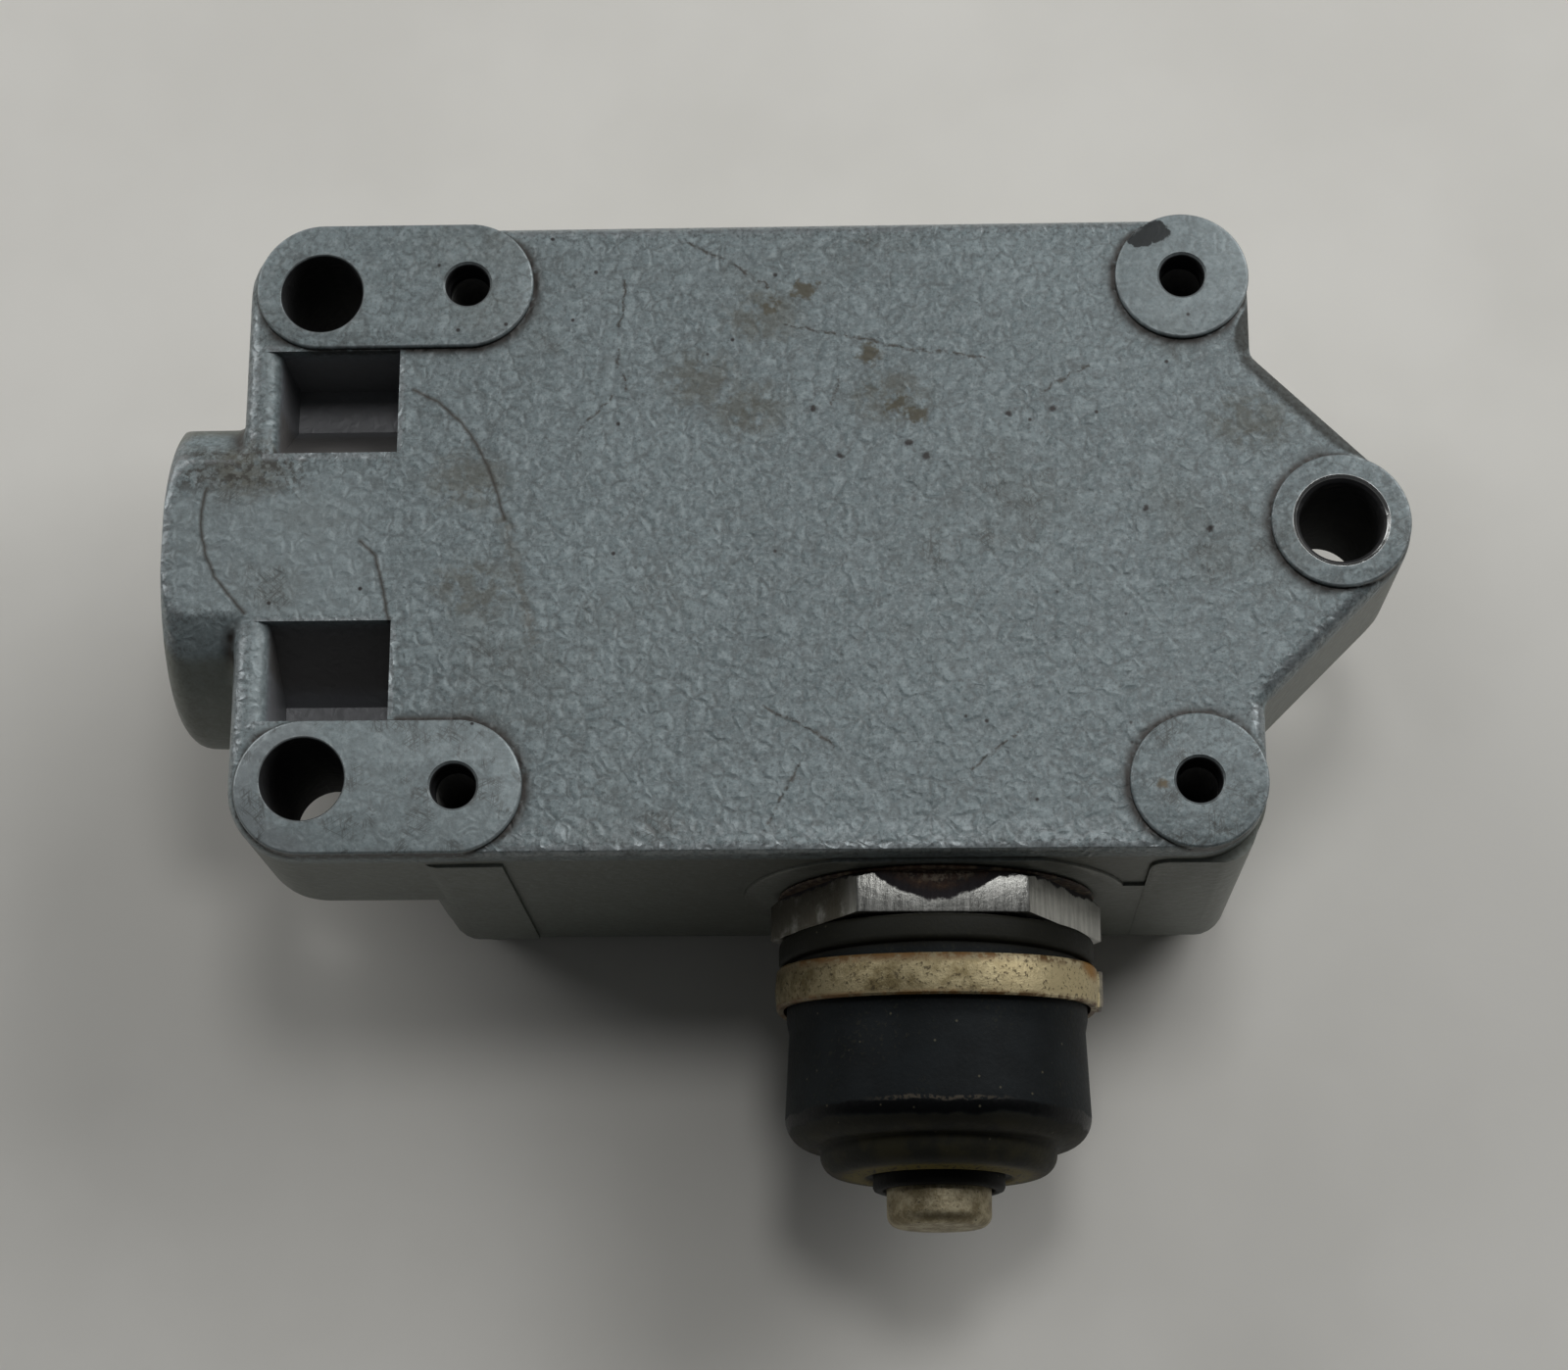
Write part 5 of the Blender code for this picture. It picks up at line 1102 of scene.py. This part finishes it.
def makeMetal(name, light, dark, rough, grain=0.5, streak=(1, 1, 1), rust=0.0):
    material, tree, shader, place = newMaterial(name)
    drawn = calcVector(tree, "MULTIPLY", place, streak)
    marks = noise(tree, drawn, grain, 4.0, 0.65)
    fine = noise(tree, place, 3.0, 3.0)
    colour = tint(tree, fade(tree, marks, 0.3, 0.7), dark, light)
    film = useGroup(tree, rustFilm, Vector=place, Scale=0.8)
    rusted = useGroup(tree, patches, Vector=place, Scale=0.25, Cover=rust)["Mask"]
    colour = tint(tree, rusted, colour, film["Colour"])
    roughness = calc(tree, "ADD", calc(tree, "MULTIPLY", marks, 0.25), rough - 0.12)
    roughness = calc(tree, "ADD", roughness, calc(tree, "MULTIPLY", rusted, 0.4), clamp=True)
    height = calc(tree, "ADD", calc(tree, "MULTIPLY", marks, 0.02), calc(tree, "MULTIPLY", fine, 0.006))
    metallic = calc(tree, "SUBTRACT", 1.0, rusted, clamp=True)
    giveSurface(tree, shader, colour, roughness, height, metallic)
    return material


def makePlastic(name, light, dark, rough, scale=0.5):
    material, tree, shader, place = newMaterial(name)
    flow = noise(tree, place, scale, 4.0)
    fine = noise(tree, place, 4.0, 2.0)
    colour = tint(tree, fade(tree, flow, 0.3, 0.7), dark, light)
    roughness = calc(tree, "ADD", calc(tree, "MULTIPLY", fine, 0.2), rough - 0.1)
    giveSurface(tree, shader, colour, roughness, calc(tree, "MULTIPLY", fine, 0.01))
    return material


def makeHexSteel():
    material, tree, shader, place = newMaterial("hexSteel")
    drawn = calcVector(tree, "MULTIPLY", place, (1.0, 0.12, 1.0))
    marks = noise(tree, drawn, 2.2, 4.0, 0.7)
    colour = tint(tree, fade(tree, marks, 0.3, 0.7), (0.32, 0.32, 0.30), (0.53, 0.53, 0.50))
    film = useGroup(tree, rustFilm, Vector=place, Scale=0.9)
    axes = splitAxes(tree, place)
    off = calc(tree, "SUBTRACT", axes[0], plungerX)
    blotch = noise(tree, place, 0.5, 4.0, 0.6)
    # the left flats darkened brown: a painted dark reflection
    paintedDarkReflection = allOf(tree, fade(tree, off, -6.5, -8.5), fade(tree, blotch, 0.2, 0.5))
    colour = tint(tree, scaled(tree, paintedDarkReflection, 0.85), colour, (0.07, 0.06, 0.04))
    # Rust creeps from the housing side, farthest in the middle of the upper flat
    creep = calc(tree, "SUBTRACT", 31.9, scaled(tree, calc(tree, "MULTIPLY", off, off), 0.075))
    creep = calc(tree, "MAXIMUM", creep, 29.8)
    ragged = scaled(tree, calc(tree, "SUBTRACT", noise(tree, place, 0.6, 5.0, 0.65), 0.5), 1.5)
    beyond = calc(tree, "SUBTRACT", calc(tree, "MULTIPLY", axes[1], -1.0), calc(tree, "ADD", creep, ragged))
    outside = fade(tree, axes[1], -27.8, -28.8)
    rusted = allOf(tree, fade(tree, beyond, 0.12, -0.12), outside)
    crust = noise(tree, place, 1.6, 4.0, 0.7)
    stain = tint(tree, fade(tree, beyond, -1.3, -0.4), film["Colour"], (0.014, 0.010, 0.013))
    stain = tint(tree, allOf(tree, fade(tree, beyond, -1.0, -1.9), fade(tree, crust, 0.42, 0.6)), stain, (0.20, 0.16, 0.115))
    colour = tint(tree, rusted, colour, stain)
    roughness = calc(tree, "ADD", scaled(tree, marks, 0.3), 0.2)
    roughness = calc(tree, "ADD", roughness, scaled(tree, rusted, 0.4), clamp=True)
    height = calc(tree, "ADD", scaled(tree, marks, 0.04), scaled(tree, film["Height"], 0.05))
    metallic = calc(tree, "SUBTRACT", 1.0, rusted, clamp=True)
    giveSurface(tree, shader, colour, roughness, height, metallic)
    return material


def makeSealFibre():
    material, tree, shader, place = newMaterial("sealFibre")
    film = useGroup(tree, rustFilm, Vector=place, Scale=0.5)
    fibres = noise(tree, calcVector(tree, "MULTIPLY", place, (1, 0.3, 1)), 1.5, 5.0)
    colour = tint(tree, fade(tree, fibres, 0.45, 0.65), film["Colour"], (0.14, 0.105, 0.065))
    roughness = calc(tree, "ADD", calc(tree, "MULTIPLY", fibres, 0.2), 0.65)
    giveSurface(tree, shader, colour, roughness, calc(tree, "MULTIPLY", fibres, 0.08))
    return material


def makeBootRubber():
    material, tree, shader, place = newMaterial("bootRubber")
    place = addNode(tree, "ShaderNodeAttribute", attribute_name="restPlace").outputs["Vector"]
    mould = noise(tree, place, 0.25, 4.0)
    fine = noise(tree, place, 2.5, 4.0, 0.6)
    colour = tint(tree, fade(tree, mould, 0.35, 0.65), (0.0034, 0.0052, 0.0062), (0.0062, 0.0088, 0.0102))
    out = scaled(tree, splitAxes(tree, place)[1], -1.0)
    swept = calc(tree, "ADD", out, scaled(tree, calc(tree, "SUBTRACT", mould, 0.5), 1.5))
    # A near-black band of painted shade where the shoulder rounds over, with a painted highlight along its upper edge
    # in the middle, dust on the tier below it, a tan line round the lip
    dusty = allOf(tree, fade(tree, fine, 0.55, 0.66), fade(tree, noise(tree, place, 0.12, 3.0), 0.35, 0.6))
    colour = tint(tree, scaled(tree, dusty, 0.3), colour, (0.040, 0.038, 0.024))
    olive = calc(tree, "MAXIMUM", fade(tree, swept, 49.9, 50.3), fade(tree, out, 36.4, 35.4))
    colour = tint(tree, scaled(tree, olive, 0.55), colour, (0.024, 0.022, 0.014))
    # painted shade where the shoulder rounds over
    paintedShoulderShade = allOf(tree, fade(tree, swept, 48.9, 49.1), fade(tree, swept, 50.2, 49.9))
    colour = tint(tree, scaled(tree, paintedShoulderShade, 0.92), colour, (0.0018, 0.002, 0.0022))
    middle = fade(tree, calc(tree, "ABSOLUTE", calc(tree, "SUBTRACT", splitAxes(tree, place)[0], plungerX)), 7.0, 3.0)
    # a tan painted highlight along the upper edge of the shoulder shade, in the middle
    streak = allOf(tree, fade(tree, swept, 48.6, 48.75), fade(tree, swept, 49.05, 48.9), middle, fade(tree, fine, 0.42, 0.55))
    colour = tint(tree, scaled(tree, streak, 0.7), colour, (0.075, 0.062, 0.045))
    overlay = useGroup(tree, patches, Vector=place, Scale=0.3, Cover=0.42)["Mask"]
    colour = tint(tree, allOf(tree, fade(tree, swept, 50.3, 51.2), scaled(tree, overlay, 0.9)), colour, (0.030, 0.027, 0.014))
    axes = splitAxes(tree, place)
    radius = gap(tree, calc(tree, "SUBTRACT", axes[0], plungerX), calc(tree, "SUBTRACT", axes[2], plungerZ))
    ring = allOf(tree, fade(tree, out, 53.0, 53.4), fade(tree, radius, 6.2, 6.5), fade(tree, radius, 9.3, 7.5), fade(tree, fine, 0.32, 0.5))
    colour = tint(tree, scaled(tree, ring, 0.9), colour, (0.16, 0.125, 0.03))
    colour = tint(tree, scaled(tree, allOf(tree, fade(tree, out, 53.3, 53.5), fade(tree, radius, 6.5, 6.2)), 0.9), colour, (0.004, 0.004, 0.004))
    specks = addNode(tree, "ShaderNodeTexVoronoi", {"Vector": place, "Scale": 1.1})
    chosen = fade(tree, splitAxes(tree, specks.outputs["Color"])[0], 0.86, 0.88)
    dots = allOf(tree, fade(tree, specks.outputs["Distance"], 0.16, 0.06), chosen)
    colour = tint(tree, scaled(tree, dots, 0.7), colour, (0.10, 0.09, 0.06))
    roughness = calc(tree, "SUBTRACT", calc(tree, "ADD", scaled(tree, fine, 0.25), 0.45), scaled(tree, paintedShoulderShade, 0.2))
    height = calc(tree, "ADD", scaled(tree, fine, 0.03), scaled(tree, mould, 0.05))
    shader.inputs["Specular IOR Level"].default_value = 0.14
    giveSurface(tree, shader, colour, roughness, height)
    return material


def makeBandBrass():
    material, tree, shader, place = newMaterial("bandBrass")
    blotch = noise(tree, place, 0.45, 5.0, 0.7)
    fine = noise(tree, place, 2.4, 4.0, 0.7)
    axes = splitAxes(tree, place)
    colour = tint(tree, fade(tree, blotch, 0.35, 0.62), (0.17, 0.135, 0.07), (0.34, 0.29, 0.175))
    # brighter gold towards the right side: a painted highlight
    paintedSideHighlight = fade(tree, axes[0], plungerX + 2.0, plungerX + 9.0)
    colour = tint(tree, scaled(tree, paintedSideHighlight, 0.65), colour, (0.78, 0.66, 0.40))
    colour = tint(tree, scaled(tree, fade(tree, fine, 0.54, 0.64), 0.8), colour, (0.06, 0.047, 0.03))
    rise = calc(tree, "DIVIDE", calc(tree, "SUBTRACT", axes[2], plungerZ), band["outer"], clamp=True)
    slant = scaled(tree, calc(tree, "POWER", rise, 1.4), band["dip"])
    across = calc(tree, "SUBTRACT", scaled(tree, axes[1], -1.0), slant)
    rims = calc(tree, "MAXIMUM", fade(tree, across, 36.7, 36.0), fade(tree, across, 38.7, 39.2))
    film = useGroup(tree, rustFilm, Vector=place, Scale=0.9)
    colour = tint(tree, allOf(tree, rims, fade(tree, blotch, 0.40, 0.55)), colour, tint(tree, 0.5, film["Colour"], (0.20, 0.105, 0.02)))
    lapped = fade(tree, axes[0], plungerX + 14.15, plungerX + 14.3)
    colour = tint(tree, scaled(tree, lapped, 0.8), colour, (0.17, 0.165, 0.15))
    orange = useGroup(tree, spot, Vector=place, Centre=(plungerX + 13.0, -36.5, plungerZ + 4.2), Size=(2.0, 1.4, 3.4))["Mask"]
    colour = tint(tree, orange, colour, (0.34, 0.15, 0.0))
    roughness = calc(tree, "ADD", scaled(tree, fine, 0.35), 0.34)
    metallic = calc(tree, "SUBTRACT", 1.0, calc(tree, "MAXIMUM", scaled(tree, rims, 0.7), orange), clamp=True)
    giveSurface(tree, shader, colour, roughness, scaled(tree, fine, 0.05), metallic)
    return material


def makeButtonNickel():
    material, tree, shader, place = newMaterial("buttonNickel")
    blotch = noise(tree, place, 0.6, 5.0, 0.7)
    fine = noise(tree, place, 3.0, 4.0, 0.7)
    colour = tint(tree, fade(tree, blotch, 0.38, 0.62), (0.22, 0.18, 0.105), (0.42, 0.37, 0.25))
    colour = tint(tree, fade(tree, fine, 0.58, 0.70), colour, (0.07, 0.055, 0.035))
    roughness = calc(tree, "ADD", calc(tree, "MULTIPLY", fine, 0.35), 0.36)
    metallic = scaled(tree, fade(tree, fine, 0.74, 0.6), 0.85)
    giveSurface(tree, shader, colour, roughness, calc(tree, "MULTIPLY", fine, 0.05), metallic)
    return material


hexSteel = makeHexSteel()
platedSteel = makeMetal("platedSteel", (0.62, 0.61, 0.57), (0.40, 0.39, 0.36), 0.35, rust=0.2)
springSteel = makeMetal("springSteel", (0.42, 0.42, 0.43), (0.28, 0.28, 0.29), 0.35, rust=0.15)
terminalBrass = makeMetal("terminalBrass", (0.68, 0.54, 0.25), (0.52, 0.39, 0.16), 0.33, rust=0.1)
contactSilver = makeMetal("contactSilver", (0.80, 0.79, 0.75), (0.60, 0.59, 0.55), 0.28, rust=0.05)
phenolic = makePlastic("phenolic", (0.040, 0.028, 0.022), (0.022, 0.015, 0.012), 0.45)
pinPlastic = makePlastic("pinPlastic", (0.32, 0.06, 0.04), (0.24, 0.04, 0.025), 0.4)
gasketCork = makePlastic("gasketCork", (0.14, 0.12, 0.09), (0.06, 0.055, 0.045), 0.85, 1.5)
sealFibre = makeSealFibre()

makeCover(castingPaint)
makeCoverSeal(gasketCork)
makeCoverScrews(platedSteel)
makeBushing(hexSteel)
makeWasher(sealFibre)
makeBoot(makeBootRubber())
makeBand(makeBandBrass())
makeButton(makeButtonNickel())
makeCoil("return_coil", returnCoil, springSteel)
makeCoil("overtravel_coil", overtravelCoil, springSteel)
print("turned pieces made")

# Inner pieces keep their own shape and get these finishes
innerFinish = {
    "plated_steel": platedSteel, "spring_steel": springSteel, "terminal_brass": terminalBrass, "contact_silver": contactSilver,
    "case_phenolic": phenolic, "pin_plastic": pinPlastic, "seal_fibre": sealFibre,
}
slotOf = {entry["node"]: entry["material_slot"] for entry in frame["record"]["subparts"]}
for name, node in frame["nodes"].items():
    if not node.hide_render:
        node.data.materials.clear()
        node.data.materials.append(innerFinish[slotOf[name]])
print("inner pieces finished")


# Floor, light and camera

stageLook = {
    "floor": 2.4, "world": 0.055,
    "lights": (((0.50, 0.46, 0.44), 0.70, 4.2), ((-0.50, 0.40, 0.34), 0.60, 2.0), ((0.05, 0.145, 0.64), 0.14, 0.58)),    # place, size, power
}
photoCamera = {"place": (0.0058767, -0.0913757, 0.3050294), "turn": (16.142, 2.0007, 0.0305), "lens": 74.79, "sensor": 36.0}


def makeFloor():
    deselectAll()
    bpy.ops.mesh.primitive_plane_add(size=stageLook["floor"], location=(0, 0, 0))
    floor = nameNew("floor")
    material, tree, shader, place = newMaterial("paleFloor")
    soft = noise(tree, place, 0.02, 4.0)
    fine = noise(tree, place, 0.6, 3.0)
    colour = tint(tree, fade(tree, soft, 0.35, 0.65), (0.71, 0.695, 0.65), (0.77, 0.755, 0.71))
    roughness = calc(tree, "ADD", calc(tree, "MULTIPLY", fine, 0.1), 0.7)
    giveSurface(tree, shader, colour, roughness, calc(tree, "MULTIPLY", fine, 0.01))
    floor.data.materials.append(material)


def makeLight():
    for place, size, power in stageLook["lights"]:
        deselectAll()
        bpy.ops.object.light_add(type="AREA", location=place)
        light = bpy.context.active_object
        light.data.shape = "DISK"
        light.data.size = size
        light.data.energy = power
        light.rotation_euler = light.location.to_track_quat("Z", "Y").to_euler()
    world = bpy.data.worlds.new("studio")
    world.use_nodes = True
    background = world.node_tree.nodes["Background"]
    background.inputs["Color"].default_value = (0.95, 0.98, 1.0, 1)
    background.inputs["Strength"].default_value = stageLook["world"]
    bpy.context.scene.world = world


def makeCamera():
    p = photoCamera
    deselectAll()
    bpy.ops.object.camera_add(location=p["place"], rotation=[radians(a) for a in p["turn"]])
    camera = bpy.context.active_object
    camera.data.lens = p["lens"]
    camera.data.sensor_width = p["sensor"]
    camera.data.clip_start = 0.005
    bpy.context.scene.camera = camera


makeFloor()
makeLight()
makeCamera()
bpy.context.scene.view_settings.view_transform = "Standard"
print("stage set")
